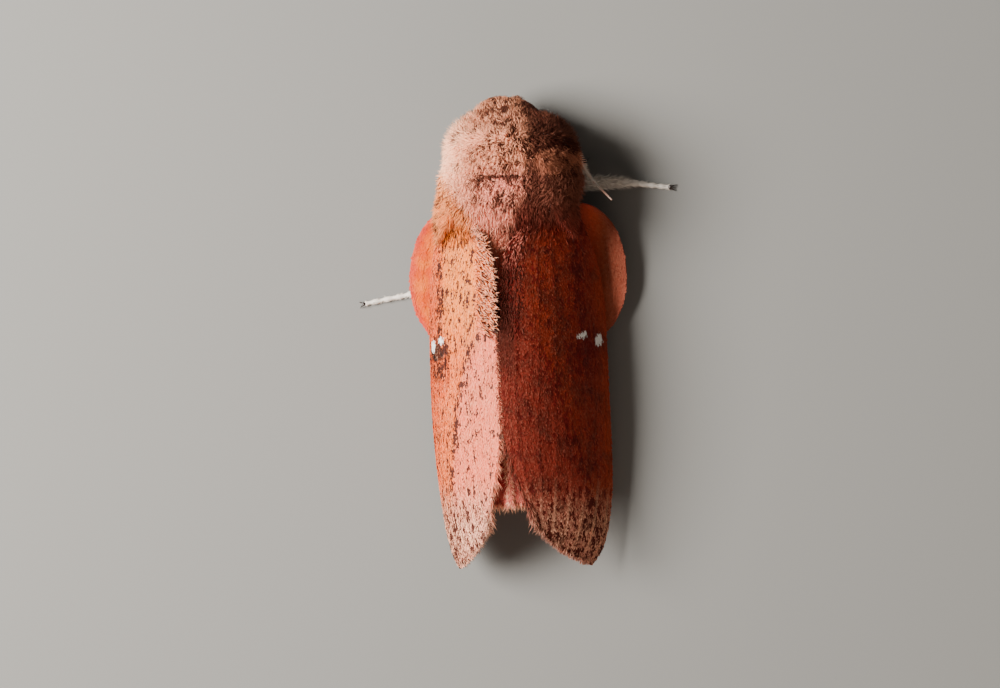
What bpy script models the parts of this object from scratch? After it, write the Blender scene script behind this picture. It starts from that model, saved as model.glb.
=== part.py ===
# Honey locust moth at rest, life size: forewings folded like a roof, hindwings showing as side lobes.
# Lengths are in metres, +Z is up and the head points along +Y. The floor is at z = 0.
# "aft" is the distance behind the front of the coat, and "side" is +1 on the moth's right.

import math
import random
from functools import partial
from itertools import combinations

import bmesh
import bpy
import numpy as np
from mathutils import Vector

MM = 0.001
LENGTH = 33.7 * MM
HALF_LENGTH = LENGTH / 2
SIDE_SHIFT = 0.3 * MM
# How far the moth's middle leans to its right, as (aft, distance), in millimetres.
LEAN = (
    (0.0, 0.0), (0.6, 0.05), (1.4, 0.32), (2.4, 0.56), (4.0, 0.70), (5.5, 0.65), (6.5, 0.52), (8.3, 0.28),
    (10.0, 0.15), (12.0, 0.05), (14.0, 0.0), (34.0, 0.0),
)
GAP = 0.3 * MM
SHEET = 0.5 * MM
COARSE_LINES = 6
COARSE_STEPS = 9
COARSE_SPREAD = 1.15
CUTTER_SPREAD = 1.3
BALL_SPREAD = 1.2
LEFT = -1
RIGHT = 1

# The roof that both forewings lie on: an arc across, from the ridge down to the leading edge.
ROOF_RADIUS = 10.0 * MM
ROOF_TOP_SLOPE = math.radians(18.0)
ROOF_TOP_SINE = math.sin(ROOF_TOP_SLOPE)
ROOF_STEEPEST_SINE = 0.985
RIDGE_HEIGHTS = ((6.0, 7.6), (10.0, 7.9), (12.5, 8.1), (17.0, 8.4), (23.0, 8.4), (28.7, 7.3), (34.0, 5.8))

# Forewing edges as (aft, distance down the roof from the ridge), in millimetres.
FOREWING_COSTA = (
    (6.7, 4.7), (8.2, 5.9), (9.9, 7.0), (12.5, 8.5), (15.0, 9.25), (18.0, 9.5), (21.5, 9.6),
    (25.0, 9.4), (28.0, 8.95), (30.4, 8.2), (32.3, 7.2), (33.6, 6.0),
)
FOREWING_DORSUM = (
    (7.7, 3.5), (8.7, 2.7), (9.7, 1.7), (10.9, 0.8), (12.0, 0.50), (13.2, 0.38), (15.0, 0.35),
    (20.0, 0.35), (24.0, 0.38), (26.6, 0.75), (28.8, 1.4),
)
FOREWING_TERMEN = ((28.8, 1.4), (30.6, 2.0), (32.1, 3.2), (33.0, 4.6), (33.6, 6.0))
FOREWING_VEINS = (0.05, 0.17, 0.30, 0.43, 0.56, 0.70, 0.88)
FOREWING_BETWEEN = (0.11, 0.235, 0.365, 0.495, 0.63, 0.79)
FOREWING_CELL_VEINS = (2, 3)
FOREWING_CELL_END = 0.42
FOREWING_STEPS = 13

# Hindwing edges as (aft, distance out from the middle), in millimetres.
HINDWING_COSTA = (
    (8.2, 3.4), (7.9, 4.5), (8.2, 5.7), (9.2, 6.85), (10.8, 7.6), (12.9, 7.92), (14.9, 7.65),
    (16.4, 6.9), (17.5, 5.9), (19.0, 5.3), (22.0, 5.0), (25.0, 4.5),
)
HINDWING_DORSUM = (
    (9.3, 2.4), (10.6, 1.5), (12.4, 0.8), (16.0, 0.42), (20.0, 0.35), (24.0, 0.35), (28.6, 0.35),
)
HINDWING_TERMEN = ((28.6, 0.35), (28.4, 1.9), (27.4, 3.4), (25.0, 4.5))
HINDWING_VEINS = (0.12, 0.30, 0.46, 0.62, 0.80)
HINDWING_BETWEEN = (0.06, 0.21, 0.38, 0.54, 0.71, 0.9)
HINDWING_STEPS = 12
HINDWING_TUCK = 0.78 * MM
LOBE_HEIGHTS = (
    (7.0, 3.5), (8.5, 2.65), (10.0, 2.05), (12.0, 1.7), (14.0, 1.5), (16.0, 1.2), (18.0, 1.1), (29.0, 1.1),
)
LOBE_BEND = 0.25 * MM

VEIN_HEIGHT = 0.15 * MM
VEIN_HALF_WIDTH = 0.022

# Body sections as (aft, half width, half height, height of the centre), in millimetres.
BODY_SECTIONS = (
    (0.45, 1.05, 0.90, 3.45), (0.80, 1.80, 1.50, 3.55), (1.50, 2.45, 2.00, 3.75), (2.40, 2.85, 2.25, 3.95),
    (2.75, 3.20, 2.70, 4.35), (3.60, 3.65, 3.15, 4.70), (4.20, 3.80, 3.30, 4.80), (6.00, 4.00, 3.55, 5.00),
    (8.00, 3.75, 3.25, 4.90), (9.90, 3.00, 2.50, 4.35), (10.5, 2.85, 2.45, 4.25), (14.0, 2.80, 2.40, 4.10),
    (18.0, 2.60, 2.25, 3.95), (21.5, 2.20, 1.95, 3.75), (24.2, 1.45, 1.35, 3.55), (25.5, 0.50, 0.50, 3.45),
)
BODY_SPANS = {"head": (0.45, 2.40), "collar": (2.70, 3.80), "thorax": (4.10, 9.90), "abdomen": (10.2, 25.5)}
BODY_STEPS = {"head": 4, "collar": 2, "thorax": 5, "abdomen": 21}
BODY_SIDES = {"head": 16, "collar": 18, "thorax": 20, "abdomen": 14}
ABDOMEN_RINGS = 7
RING_DEPTH = 0.12

# Rows of locks as (aft, how many, degrees reached from the top on each side, length, lift).
LOCK_ROWS = {
    "head": ((1.90, 5, 60, 1.45, 0.15), (1.20, 5, 84, 1.25, 0.15)),
    "collar": ((3.42, 10, 118, 2.00, 0.55), (3.00, 9, 110, 2.35, 0.40)),
    "thorax": (
        (4.75, 11, 116, 1.80, 0.70), (5.60, 10, 112, 1.90, 0.70), (6.50, 9, 88, 2.00, 0.65),
        (7.35, 7, 52, 2.10, 0.60), (8.25, 6, 42, 2.10, 0.60), (9.10, 5, 34, 2.30, 0.70),
    ),
    "abdomen": ((22.6, 8, 160, 1.90, 0.15), (24.1, 6, 150, 1.90, 0.10)),
}
LOCKS_FORWARD = ("head", "collar")
LOCK_WIDTH = {"head": 1.05, "collar": 1.50, "thorax": 1.55, "abdomen": 1.00}
LOCK_THICKNESS = 0.52
LOCK_SINK = 0.6
LOCK_RINGS = ((0.20, 1.00, 1.00), (0.62, 0.76, 0.72), (1.00, 0.0, 0.0))
LOCK_SWAY = 0.22
TEGULA_REACH = (36, 88)
SEEDS = {"head": 1, "collar": 5, "thorax": 3, "abdomen": 2, "tegula": 2}
FLAT_COSINE = 0.999

PALP_ROOT = (0.45, 1.15, 2.55)
PALP_TIP = (0.62, 0.20, 2.15)
PALP_RADIUS = 0.34

# The flap over each forewing's root, as (out from the middle, aft, height, half width, half thickness).
TEGULA_SECTIONS = (
    (2.75, 4.8, 7.40, 0.40, 0.30), (3.30, 5.6, 7.20, 0.95, 0.42), (3.75, 6.6, 6.78, 1.15, 0.45),
    (4.15, 7.8, 6.20, 1.05, 0.40), (4.50, 9.0, 5.67, 0.65, 0.30), (4.70, 9.7, 5.38, 0.25, 0.22),
)
TEGULA_LOCKS = ((1, -0.45), (1, 0.45), (2, -0.75), (2, 0.0), (2, 0.75), (3, -0.5), (3, 0.5))
TEGULA_LOCK_LENGTH = 1.7
TEGULA_LOCK_WIDTH = 1.0
TEGULA_LOCK_LIFT = 0.3
TEGULA_LOCK_SWAY = 0.1
TEGULA_LOCK_SINK = 0.3
TEGULA_OUTWARD = (0.75, 0.0, 0.66)

EYE_PLACE = (2.25, 1.80, 3.25)
EYE_RADIUS = 0.74 * MM

# Leg joints as (out from the middle, aft, height), in millimetres, from the hip to the claws.
LEG_JOINTS = {
    "foreleg_left": (
        (1.3, 4.6, 2.3), (3.4, 5.1, 1.8), (4.7, 6.4, 0.95),
        (5.15, 6.6, 0.42), (5.55, 5.9, 0.18), (5.8, 5.05, 0.17),
    ),
    "foreleg_right": (
        (1.3, 4.6, 2.3), (2.9, 4.8, 1.8), (3.6, 5.6, 0.95),
        (3.95, 5.8, 0.42), (4.15, 5.5, 0.18), (4.3, 4.95, 0.17),
    ),
    "midleg_left": (
        (1.7, 6.9, 1.9), (4.2, 7.6, 1.6), (5.4, 9.0, 0.75),
        (5.8, 10.0, 0.36), (6.1, 10.9, 0.18), (6.5, 12.0, 0.17),
    ),
    "midleg_right": (
        (1.7, 6.9, 1.9), (4.8, 6.5, 1.7), (7.35, 6.5, 0.85),
        (8.25, 6.6, 0.40), (9.15, 6.75, 0.18), (10.55, 6.95, 0.17),
    ),
    "hindleg_left": (
        (1.5, 8.8, 2.0), (4.0, 12.0, 1.0), (5.6, 13.2, 0.44),
        (7.3, 13.6, 0.36), (9.4, 13.95, 0.18), (11.6, 14.3, 0.17),
    ),
    "hindleg_right": (
        (1.5, 8.8, 2.0), (3.6, 12.4, 1.0), (4.4, 15.2, 0.45),
        (4.6, 16.4, 0.36), (4.8, 17.6, 0.18), (5.1, 19.0, 0.17),
    ),
}
LEG_RADII = (0.44, 0.42, 0.35, 0.30, 0.27, 0.27)
LEG_STEPS = 3
LEG_SIDES_RESOLUTION = 2
CLAW_LENGTH = 0.75 * MM
CLAW_RADIUS = 0.19 * MM
CLAW_ARCH = 0.1 * MM
CLAW_SINK = 0.1 * MM
CLAW_SPLAY = 0.5

ANTENNA_JOINTS = {
    "antenna_left": (
        (1.6, 2.1, 5.05), (2.95, 2.7, 4.4), (3.9, 3.8, 3.55), (4.35, 5.4, 3.0), (4.45, 7.0, 2.95),
    ),
    "antenna_right": (
        (1.6, 2.1, 5.05), (2.95, 2.7, 4.4), (4.1, 4.1, 3.55), (5.3, 6.0, 3.4), (7.2, 7.8, 3.85),
    ),
}
ANTENNA_RADII = (0.30, 0.28, 0.27, 0.26, 0.25)
ANTENNA_STEPS = 3
RAY_LENGTH = 0.85
RAY_LAST_SHARE = 0.75
RAY_PAIRS = 5
RAY_SINK = 0.12 * MM

COLOURS = {
    "coat": (0.62, 0.27, 0.17),
    "forewing": (0.60, 0.26, 0.12),
    "hindwing": (0.62, 0.20, 0.12),
    "limb": (0.66, 0.50, 0.44),
    "eye": (0.02, 0.015, 0.012),
}


def clear_scene():
    """Leaves an empty scene."""
    for thing in list(bpy.data.objects):
        bpy.data.objects.remove(thing)


def make_material(name, colour, roughness):
    """A Principled material of one colour."""
    material = bpy.data.materials.new(name)
    material.use_nodes = True
    shader = material.node_tree.nodes["Principled BSDF"]
    shader.inputs["Base Color"].default_value = (*colour, 1.0)
    shader.inputs["Roughness"].default_value = roughness
    shader.inputs["Metallic"].default_value = 0.0
    return material


def at(across, aft, height):
    """The point this far to the moth's right, behind the front of its coat and above the floor, in metres."""
    lean = curve_at(LEAN, aft / MM) * MM
    return Vector((across + lean + SIDE_SHIFT, HALF_LENGTH - aft, height))


def at_mm(side, place):
    """The point at (out from the middle, aft, height) in millimetres on one side of the moth."""
    out, aft, height = place
    return at(side * out * MM, aft * MM, height * MM)


def curve_at(stations, where):
    """The values at a place on a smooth curve through stations, each (place, value, ...)."""
    table = np.array(stations, float)
    places, values = table[:, 0], table[:, 1:]
    slopes = np.gradient(values, places, axis=0)
    where = min(max(where, places[0]), places[-1])
    k = min(int(np.searchsorted(places, where, side="right")) - 1, len(places) - 2)
    span = places[k + 1] - places[k]
    s = (where - places[k]) / span
    start, end = values[k], values[k + 1]
    bend = (2 * s**3 - 3 * s**2 + 1) * start + (3 * s**2 - 2 * s**3) * end
    bend = bend + (s**3 - 2 * s**2 + s) * span * slopes[k] + (s**3 - s**2) * span * slopes[k + 1]
    return bend if len(bend) > 1 else float(bend[0])


def edge_at(points, share):
    """The point a share of the way along an edge, counted by its length."""
    line = np.array(points, float)
    runs = np.concatenate([[0.0], np.cumsum(np.linalg.norm(np.diff(line, axis=0), axis=1))])
    return np.array(curve_at(np.column_stack([runs, line]), share * runs[-1]))


def ridge_height(aft):
    """Height of the forewings' ridge above the floor."""
    return curve_at(RIDGE_HEIGHTS, aft / MM) * MM


def roof_point(side, aft, down, rise=0.0):
    """A point on the roof, a distance down from its ridge and raised from it along its normal."""
    slope = ROOF_TOP_SLOPE + down / ROOF_RADIUS
    across = ROOF_RADIUS * (math.sin(slope) - ROOF_TOP_SINE) + rise * math.sin(slope)
    drop = ROOF_RADIUS * (math.cos(ROOF_TOP_SLOPE) - math.cos(slope)) - rise * math.cos(slope)
    return at(side * across, aft, ridge_height(aft) - drop)


def roof_height(aft, across):
    """Height of the roof at a distance out from the middle, carried on steeply past its edge."""
    sine = across / ROOF_RADIUS + ROOF_TOP_SINE
    kept = min(sine, ROOF_STEEPEST_SINE)
    steepest = ROOF_STEEPEST_SINE / math.sqrt(1 - ROOF_STEEPEST_SINE**2)
    drop = ROOF_RADIUS * (math.cos(ROOF_TOP_SLOPE) - math.sqrt(1 - kept**2))
    return ridge_height(aft) - drop - (sine - kept) * ROOF_RADIUS * steepest


def lobe_point(side, aft, across):
    """A point on the hindwing: tucked under the roof, then bent out flat into the side lobe."""
    lobe = curve_at(LOBE_HEIGHTS, aft / MM) * MM
    over = (roof_height(aft, across + HINDWING_TUCK) - HINDWING_TUCK - lobe) / LOBE_BEND
    rise = LOBE_BEND * (over if over > 30 else math.log1p(math.exp(over)))
    return at(side * across, aft, lobe + rise)


def hindwing_point(side, aft, across, rise=0.0):
    """A point on the hindwing, raised from it along its normal."""
    place = lobe_point(side, aft, across)
    step_out = lobe_point(side, aft, across + 0.05 * MM) - place
    step_aft = lobe_point(side, aft + 0.05 * MM, across) - place
    normal = step_out.cross(step_aft).normalized()
    return place + normal * (rise if normal.z > 0 else -rise)


def vein_lines(veins, between):
    """Shares across a wing for its lines of points, with which of them are the crests of veins."""
    lines = {0.0: None, 1.0: None}
    for number, share in enumerate(veins):
        lines[share - VEIN_HALF_WIDTH] = None
        lines[share] = number
        lines[share + VEIN_HALF_WIDTH] = None
    for share in between:
        lines[share] = None
    return sorted(lines.items())


def wing_grid(costa, dorsum, termen, lines, steps):
    """Rows of (aft, other) places in metres from a wing's root to its outer edge, one place for each line."""
    rows = []
    for step in range(steps + 1):
        share = step / steps
        front, back = edge_at(costa, share), edge_at(dorsum, share)
        row = []
        for across, _ in lines:
            straight = front + (back - front) * across
            outer = edge_at(termen, 1 - across)
            chord = np.array(costa[-1]) + (np.array(dorsum[-1]) - np.array(costa[-1])) * across
            row.append(straight + (outer - chord) * share**3)
        rows.append(row)
    return np.array(rows) * MM


def rim_of(rows, columns):
    """The places round the edge of a grid, in order."""
    rim = [(i, 0) for i in range(rows)] + [(rows - 1, j) for j in range(1, columns)]
    rim += [(i, columns - 1) for i in range(rows - 2, -1, -1)]
    return rim + [(0, j) for j in range(columns - 2, 0, -1)]


def pushed_out(grid, spread):
    """A flat grid of places with its edge moved out by a distance."""
    wide = grid.copy()
    rim = rim_of(*grid.shape[:2])
    middle = grid.reshape(-1, 2).mean(axis=0)
    edge = np.array([grid[place] for place in rim])
    tangent = np.roll(edge, -1, axis=0) - np.roll(edge, 1, axis=0)
    normal = np.column_stack([tangent[:, 1], -tangent[:, 0]])
    normal /= np.linalg.norm(normal, axis=1, keepdims=True)
    turn = 1 if np.sum(normal * (edge - middle)) > 0 else -1
    for place, out in zip(rim, normal):
        wide[place] += out * turn * spread
    return wide


def finished(name, mesh):
    """A new object from a bmesh, its faces turned outwards."""
    bmesh.ops.recalc_face_normals(mesh, faces=mesh.faces)
    data = bpy.data.meshes.new(name)
    mesh.to_mesh(data)
    mesh.free()
    return bpy.data.objects.new(name, data)


def sheet_mesh(name, outer, inner):
    """A closed thin sheet between two like grids of points, split into triangles alike on both faces."""
    mesh = bmesh.new()
    rows, columns = len(outer), len(outer[0])
    top = [[mesh.verts.new(point) for point in row] for row in outer]
    low = [[mesh.verts.new(point) for point in row] for row in inner]
    for i in range(rows - 1):
        for j in range(columns - 1):
            for grid, turn in ((top, 1), (low, -1)):
                a, b, c, d = grid[i][j], grid[i + 1][j], grid[i + 1][j + 1], grid[i][j + 1]
                mesh.faces.new((a, b, c)[::turn])
                mesh.faces.new((a, c, d)[::turn])
    rim = rim_of(rows, columns)
    for (i, j), (k, m) in zip(rim, rim[1:] + rim[:1]):
        mesh.faces.new((top[i][j], low[i][j], low[k][m], top[k][m]))
    return finished(name, mesh)


def wing(name, side, point, edges, veins, between, steps, cell, spread):
    """A thin wing with raised veins, or a coarse one with no veins that is larger all round by a spread."""
    lines = vein_lines(veins, between)
    if spread:
        lines = [(k / COARSE_LINES, None) for k in range(COARSE_LINES + 1)]
        steps = COARSE_STEPS
    grid = wing_grid(*edges, lines, steps)
    places = pushed_out(grid, spread * COARSE_SPREAD)
    outer, inner = [], []
    for step, row in enumerate(places):
        outer.append([])
        inner.append([])
        for (_, vein), (aft, other) in zip(lines, row):
            start = FOREWING_CELL_END if vein in cell else 0.0
            raised = VEIN_HEIGHT if vein is not None and start < step / steps < 1 else 0.0
            raised += VEIN_HEIGHT if spread else 0.0
            outer[-1].append(point(side, aft, other, raised + spread))
            inner[-1].append(point(side, aft, other, -SHEET - spread))
    return [sheet_mesh(name, outer, inner)]


def forewing(side, spread=0.0):
    """A forewing on the roof, its veins raised past the end of the cell."""
    edges = (FOREWING_COSTA, FOREWING_DORSUM, FOREWING_TERMEN)
    return wing(
        "forewing", side, roof_point, edges, FOREWING_VEINS, FOREWING_BETWEEN, FOREWING_STEPS,
        FOREWING_CELL_VEINS, spread,
    )


def hindwing(side, spread=0.0):
    """A hindwing under the roof, with its side lobe."""
    edges = (HINDWING_COSTA, HINDWING_DORSUM, HINDWING_TERMEN)
    return wing(
        "hindwing", side, hindwing_point, edges, HINDWING_VEINS, HINDWING_BETWEEN, HINDWING_STEPS, (), spread,
    )


def blade(name, rings, corners=4):
    """A closed limb through rings, each (centre, sideways, upwards), the two vectors at its half sizes."""
    mesh = bmesh.new()
    loops = []
    for centre, sideways, upwards in rings:
        if sideways.length < 1e-7:
            loops.append([mesh.verts.new(centre)])
            continue
        turns = [2 * math.pi * k / corners for k in range(corners)]
        loops.append([mesh.verts.new(centre + sideways * math.cos(t) + upwards * math.sin(t)) for t in turns])
    for first, second in zip(loops, loops[1:]):
        for k in range(corners):
            m = (k + 1) % corners
            if len(second) == 1:
                mesh.faces.new((first[k], first[m], second[0]))
            elif len(first) == 1:
                mesh.faces.new((first[0], second[m], second[k]))
            else:
                mesh.faces.new((first[k], first[m], second[m], second[k]))
    for loop in (loops[0], loops[-1]):
        if len(loop) > 1:
            mesh.faces.new(loop)
    return finished(name, mesh)


def lock(root, along, normal, size, lift, sway, sink=LOCK_SINK, spread=0.0):
    """A flat tapering lock of hair that leaves the coat at its root and bends to lie along it."""
    length, width, thickness = size
    sideways = normal.cross(along).normalized()
    rings = []
    for share, wide, thick in ((-sink * MM / length, 0.85, 1.0),) + LOCK_RINGS:
        centre = root + along * (length * share) + normal * (lift * share * (2 - share))
        centre += sideways * (sway * share * abs(share))
        if spread and share == 1.0:
            centre += along * spread
        heading = (along * length + normal * (lift * (2 - 2 * share))).normalized()
        upwards = heading.cross(sideways).normalized() * -1
        half_width = wide * width / 2 + CUTTER_SPREAD * spread
        half_thickness = thick * thickness / 2 + CUTTER_SPREAD * spread
        rings.append((centre, sideways * half_width, upwards * half_thickness))
    return blade("lock", rings)


def body_point(aft, turn, swell=0.0):
    """A point of the body's surface at a place along it and a turn from its top."""
    width, height, centre = curve_at(BODY_SECTIONS, aft)
    across = (width + swell) * math.sin(turn)
    return at(across * MM, aft * MM, (centre + (height + swell) * math.cos(turn)) * MM)


def ring_swell(name, share):
    """How far a body length's surface stands out, in millimetres, at a share along it."""
    if name != "abdomen":
        return 0.0
    return RING_DEPTH * abs(math.sin(math.pi * ABDOMEN_RINGS * share)) * (1 - share**4)


def body_core(name, spread=0.0):
    """One length of the body between two flat ends, without its locks."""
    start, end = BODY_SPANS[name]
    start, end = start - spread / MM, end + spread / MM
    steps, sides = BODY_STEPS[name], BODY_SIDES[name]
    mesh = bmesh.new()
    rings = []
    for k in range(steps + 1):
        aft = start + (end - start) * k / steps
        swell = ring_swell(name, k / steps) + spread / MM
        turns = [2 * math.pi * m / sides for m in range(sides)]
        width, height, centre = curve_at(BODY_SECTIONS, aft)
        ring = [
            at((width + swell) * math.sin(t) * MM, aft * MM, (centre + (height + swell) * math.cos(t)) * MM)
            for t in turns
        ]
        rings.append([mesh.verts.new(point) for point in ring])
    for first, second in zip(rings, rings[1:]):
        for k in range(sides):
            m = (k + 1) % sides
            mesh.faces.new((first[k], first[m], second[m], second[k]))
    mesh.faces.new(rings[0])
    mesh.faces.new(rings[-1])
    return finished(name, mesh)


def body_locks(name, spread=0.0):
    """The rows of locks on one length of the body, left out where a tegula lies."""
    chance = random.Random(SEEDS[name])
    direction = -1 if name in LOCKS_FORWARD else 1
    start, end = BODY_SPANS[name]
    pieces = []
    for row, (aft, count, reach, length, lift) in enumerate(LOCK_ROWS[name]):
        for k in range(count):
            degrees = reach * ((k + (0.35 if row % 2 else 0.65)) / count * 2 - 1)
            turn = math.radians(degrees)
            if name == "thorax" and TEGULA_REACH[0] < abs(degrees) < TEGULA_REACH[1]:
                continue
            root = body_point(aft, turn)
            along = (body_point(aft + 0.05, turn) - body_point(aft - 0.05, turn)).normalized() * direction
            along = (along + Vector((0, -direction, 0))).normalized()
            around = body_point(aft, turn + 0.02) - body_point(aft, turn - 0.02)
            normal = around.cross(along).normalized() * -direction
            size = (length * chance.uniform(0.9, 1.1) * MM, LOCK_WIDTH[name] * MM, LOCK_THICKNESS * MM)
            raised = lift * chance.uniform(0.75, 1.2) * MM
            sway = chance.uniform(-LOCK_SWAY, LOCK_SWAY) * MM
            room = aft - start if direction > 0 else end - aft
            sink = min(LOCK_SINK, room - 0.12)
            pieces.append(lock(root, along, normal, size, raised, sway, sink, spread))
    return pieces


def palp(side, spread=0.0):
    """A short mouth feeler under the front of the head."""
    root, tip = at_mm(side, PALP_ROOT), at_mm(side, PALP_TIP)
    size = PALP_RADIUS * MM + spread
    across, upwards = Vector((size, 0, 0)), Vector((0, 0, size))
    end = tip + (tip - root).normalized() * spread
    middle = root.lerp(tip, 0.6)
    rings = ((root, across, upwards), (middle, across, upwards), (end, across / 2, upwards / 2))
    return blade("palp", rings, 8)


def body_pieces(name, spread=0.0):
    """A length of the body with its locks, and the head's palps."""
    pieces = [body_core(name, spread)] + body_locks(name, spread)
    if name == "head":
        pieces += [palp(LEFT, spread), palp(RIGHT, spread)]
    return pieces


def tegula(side, spread=0.0):
    """The furry flap that lies back over a forewing's root."""
    chance = random.Random(SEEDS["tegula"])
    centres = [at_mm(side, section[:3]) for section in TEGULA_SECTIONS]
    rings, frames = [], []
    for k, (centre, section) in enumerate(zip(centres, TEGULA_SECTIONS)):
        heading = (centres[min(k + 1, len(centres) - 1)] - centres[max(k - 1, 0)]).normalized()
        outward = Vector(TEGULA_OUTWARD)
        outward.x *= side
        sideways = outward.cross(heading).normalized()
        upwards = heading.cross(sideways).normalized()
        half_width, half_thickness = section[3] * MM + spread, section[4] * MM + spread
        rings.append((centre, sideways * half_width, upwards * half_thickness))
        frames.append((centre, heading, sideways * half_width, upwards * half_thickness))
    if spread:
        for end, turn in ((0, -1), (-1, 1)):
            centre, sideways, upwards = rings[end]
            rings[end] = (centre + frames[end][1] * turn * spread, sideways, upwards)
        return [blade("tegula", rings, 10)]
    pieces = [blade("tegula", rings, 10)]
    for k, across in TEGULA_LOCKS:
        centre, heading, sideways, upwards = frames[k]
        length = TEGULA_LOCK_LENGTH * chance.uniform(0.85, 1.1) * MM
        size = (length, TEGULA_LOCK_WIDTH * MM, LOCK_THICKNESS * MM)
        root = centre + sideways * across * 0.8 + upwards * (0.55 * math.sqrt(1 - 0.6 * across**2))
        sway = across * TEGULA_LOCK_SWAY * MM
        lift = TEGULA_LOCK_LIFT * MM
        pieces.append(lock(root, heading, upwards.normalized(), size, lift, sway, TEGULA_LOCK_SINK, spread))
    return pieces


def tube(name, points, radii, steps):
    """A tapering round limb through points, closed at both ends."""
    curve = bpy.data.curves.new(name, "CURVE")
    curve.dimensions = "3D"
    curve.bevel_depth = 1.0
    curve.bevel_resolution = LEG_SIDES_RESOLUTION
    curve.use_fill_caps = True
    spline = curve.splines.new("POLY")
    table = [(k, *point, radius) for k, (point, radius) in enumerate(zip(points, radii))]
    spline.points.add((len(points) - 1) * steps)
    for k, knot in enumerate(spline.points):
        x, y, z, radius = curve_at(table, k / steps)
        knot.co = (x, y, z, 1.0)
        knot.radius = radius
    holder = bpy.data.objects.new(name, curve)
    bpy.context.scene.collection.objects.link(holder)
    bpy.context.view_layer.update()
    graph = bpy.context.evaluated_depsgraph_get()
    data = bpy.data.meshes.new_from_object(holder.evaluated_get(graph))
    bpy.data.objects.remove(holder)
    mesh = bmesh.new()
    mesh.from_mesh(data)
    bmesh.ops.remove_doubles(mesh, verts=mesh.verts, dist=0.001 * MM)
    return finished(name, mesh)


def ball(centre, radius, segments=12, rings=7):
    """A small closed ball."""
    mesh = bmesh.new()
    bmesh.ops.create_uvsphere(mesh, u_segments=segments, v_segments=rings, radius=radius)
    bmesh.ops.translate(mesh, verts=mesh.verts, vec=centre)
    return finished("ball", mesh)


def claw(ankle, heading, splay, spread=0.0):
    """One of the two small curved claws at a leg's end."""
    up = Vector((0, 0, 1))
    across = heading.cross(up)
    out = (heading + across * splay).normalized()
    size = CLAW_RADIUS + spread
    root = ankle - heading * CLAW_SINK + up * CLAW_ARCH / 2
    middle = root + out * CLAW_LENGTH / 2 + up * CLAW_ARCH
    tip = root + out * (CLAW_LENGTH + spread) - up * CLAW_ARCH
    rings = (
        (root, across * size, up * size),
        (middle, across * size * 0.6, up * size * 0.6),
        (tip, across * spread, up * spread),
    )
    return blade("claw", rings, 6)


def leg(name, spread=0.0):
    """A leg from its hip to its claws, its foot flat on the floor."""
    side = RIGHT if name.endswith("right") else LEFT
    points = [at_mm(side, joint) for joint in LEG_JOINTS[name]]
    pieces = [tube(name, points, [radius * MM + spread for radius in LEG_RADII], LEG_STEPS)]
    if spread:
        pieces.append(ball(points[0], LEG_RADII[0] * MM + BALL_SPREAD * spread, 8, 4))
    heading = (points[-1] - points[-2]).normalized()
    pieces += [claw(points[-1], heading, splay, spread) for splay in (-CLAW_SPLAY, CLAW_SPLAY)]
    for piece in pieces:
        for vertex in piece.data.vertices:
            vertex.co.z = max(vertex.co.z, -spread)
    return pieces


def antenna(name, spread=0.0):
    """A feathered antenna folded back along the flank."""
    side = RIGHT if name.endswith("right") else LEFT
    points = [at_mm(side, joint) for joint in ANTENNA_JOINTS[name]]
    pieces = [tube(name, points, [radius * MM + spread for radius in ANTENNA_RADII], ANTENNA_STEPS)]
    if spread:
        pieces.append(ball(points[0], ANTENNA_RADII[0] * MM + BALL_SPREAD * spread, 8, 4))
    table = [(k, *point) for k, point in enumerate(points)]
    last = (len(points) - 1) * RAY_LAST_SHARE
    for k in range(1, RAY_PAIRS + 1):
        where = last * k / RAY_PAIRS
        centre = Vector(curve_at(table, where))
        heading = (Vector(curve_at(table, where + 0.05)) - Vector(curve_at(table, where - 0.05))).normalized()
        outward = Vector((side * 0.5, 0.0, 0.85))
        across = heading.cross(outward).normalized()
        for turn in (-1, 1):
            out = (across * turn + heading * 0.7).normalized()
            flat = outward.normalized() * (0.2 * MM + 2.0 * spread)
            wide = heading * (0.27 * MM + 2.0 * spread)
            reach = RAY_LENGTH * MM * math.sin(math.pi * (0.25 + 0.6 * k / RAY_PAIRS)) + spread
            rings = ((centre - out * RAY_SINK, wide, flat), (centre + out * reach, wide * 0.25, flat * 0.5))
            pieces.append(blade("ray", rings))
    return pieces


def eye(side, spread=0.0):
    """A compound eye at the side of the head."""
    return [ball(at_mm(side, EYE_PLACE), EYE_RADIUS + spread)]


def islands_of(mesh):
    """The groups of joined vertices in a bmesh."""
    left, islands = set(mesh.verts), []
    while left:
        reached = {next(iter(left))}
        front = set(reached)
        while front:
            near = {edge.other_vert(vertex) for vertex in front for edge in vertex.link_edges}
            front = near - reached
            reached |= near
        islands.append(reached)
        left -= reached
    return islands


def turn_diagonal(mesh, edge, first, second):
    """Swaps the edge between two triangles of one flat face for the other diagonal, where that is free."""
    u, v = edge.verts
    a = next(vertex for vertex in first.verts if vertex not in edge.verts)
    b = next(vertex for vertex in second.verts if vertex not in edge.verts)
    normal = first.normal.copy()
    if normal.dot(second.normal) < FLAT_COSINE or mesh.edges.get((a, b)):
        return False
    across, along = b.co - a.co, v.co - u.co
    split = (u.co - a.co).cross(across).dot(normal) * (v.co - a.co).cross(across).dot(normal)
    apart = (a.co - u.co).cross(along).dot(normal) * (b.co - u.co).cross(along).dot(normal)
    if split >= 0 or apart >= 0:
        return False
    mesh.faces.remove(first)
    mesh.faces.remove(second)
    for corner in (u, v):
        face = mesh.faces.new((a, b, corner))
        face.normal_update()
        if face.normal.dot(normal) < 0:
            face.normal_flip()
    return True


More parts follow.
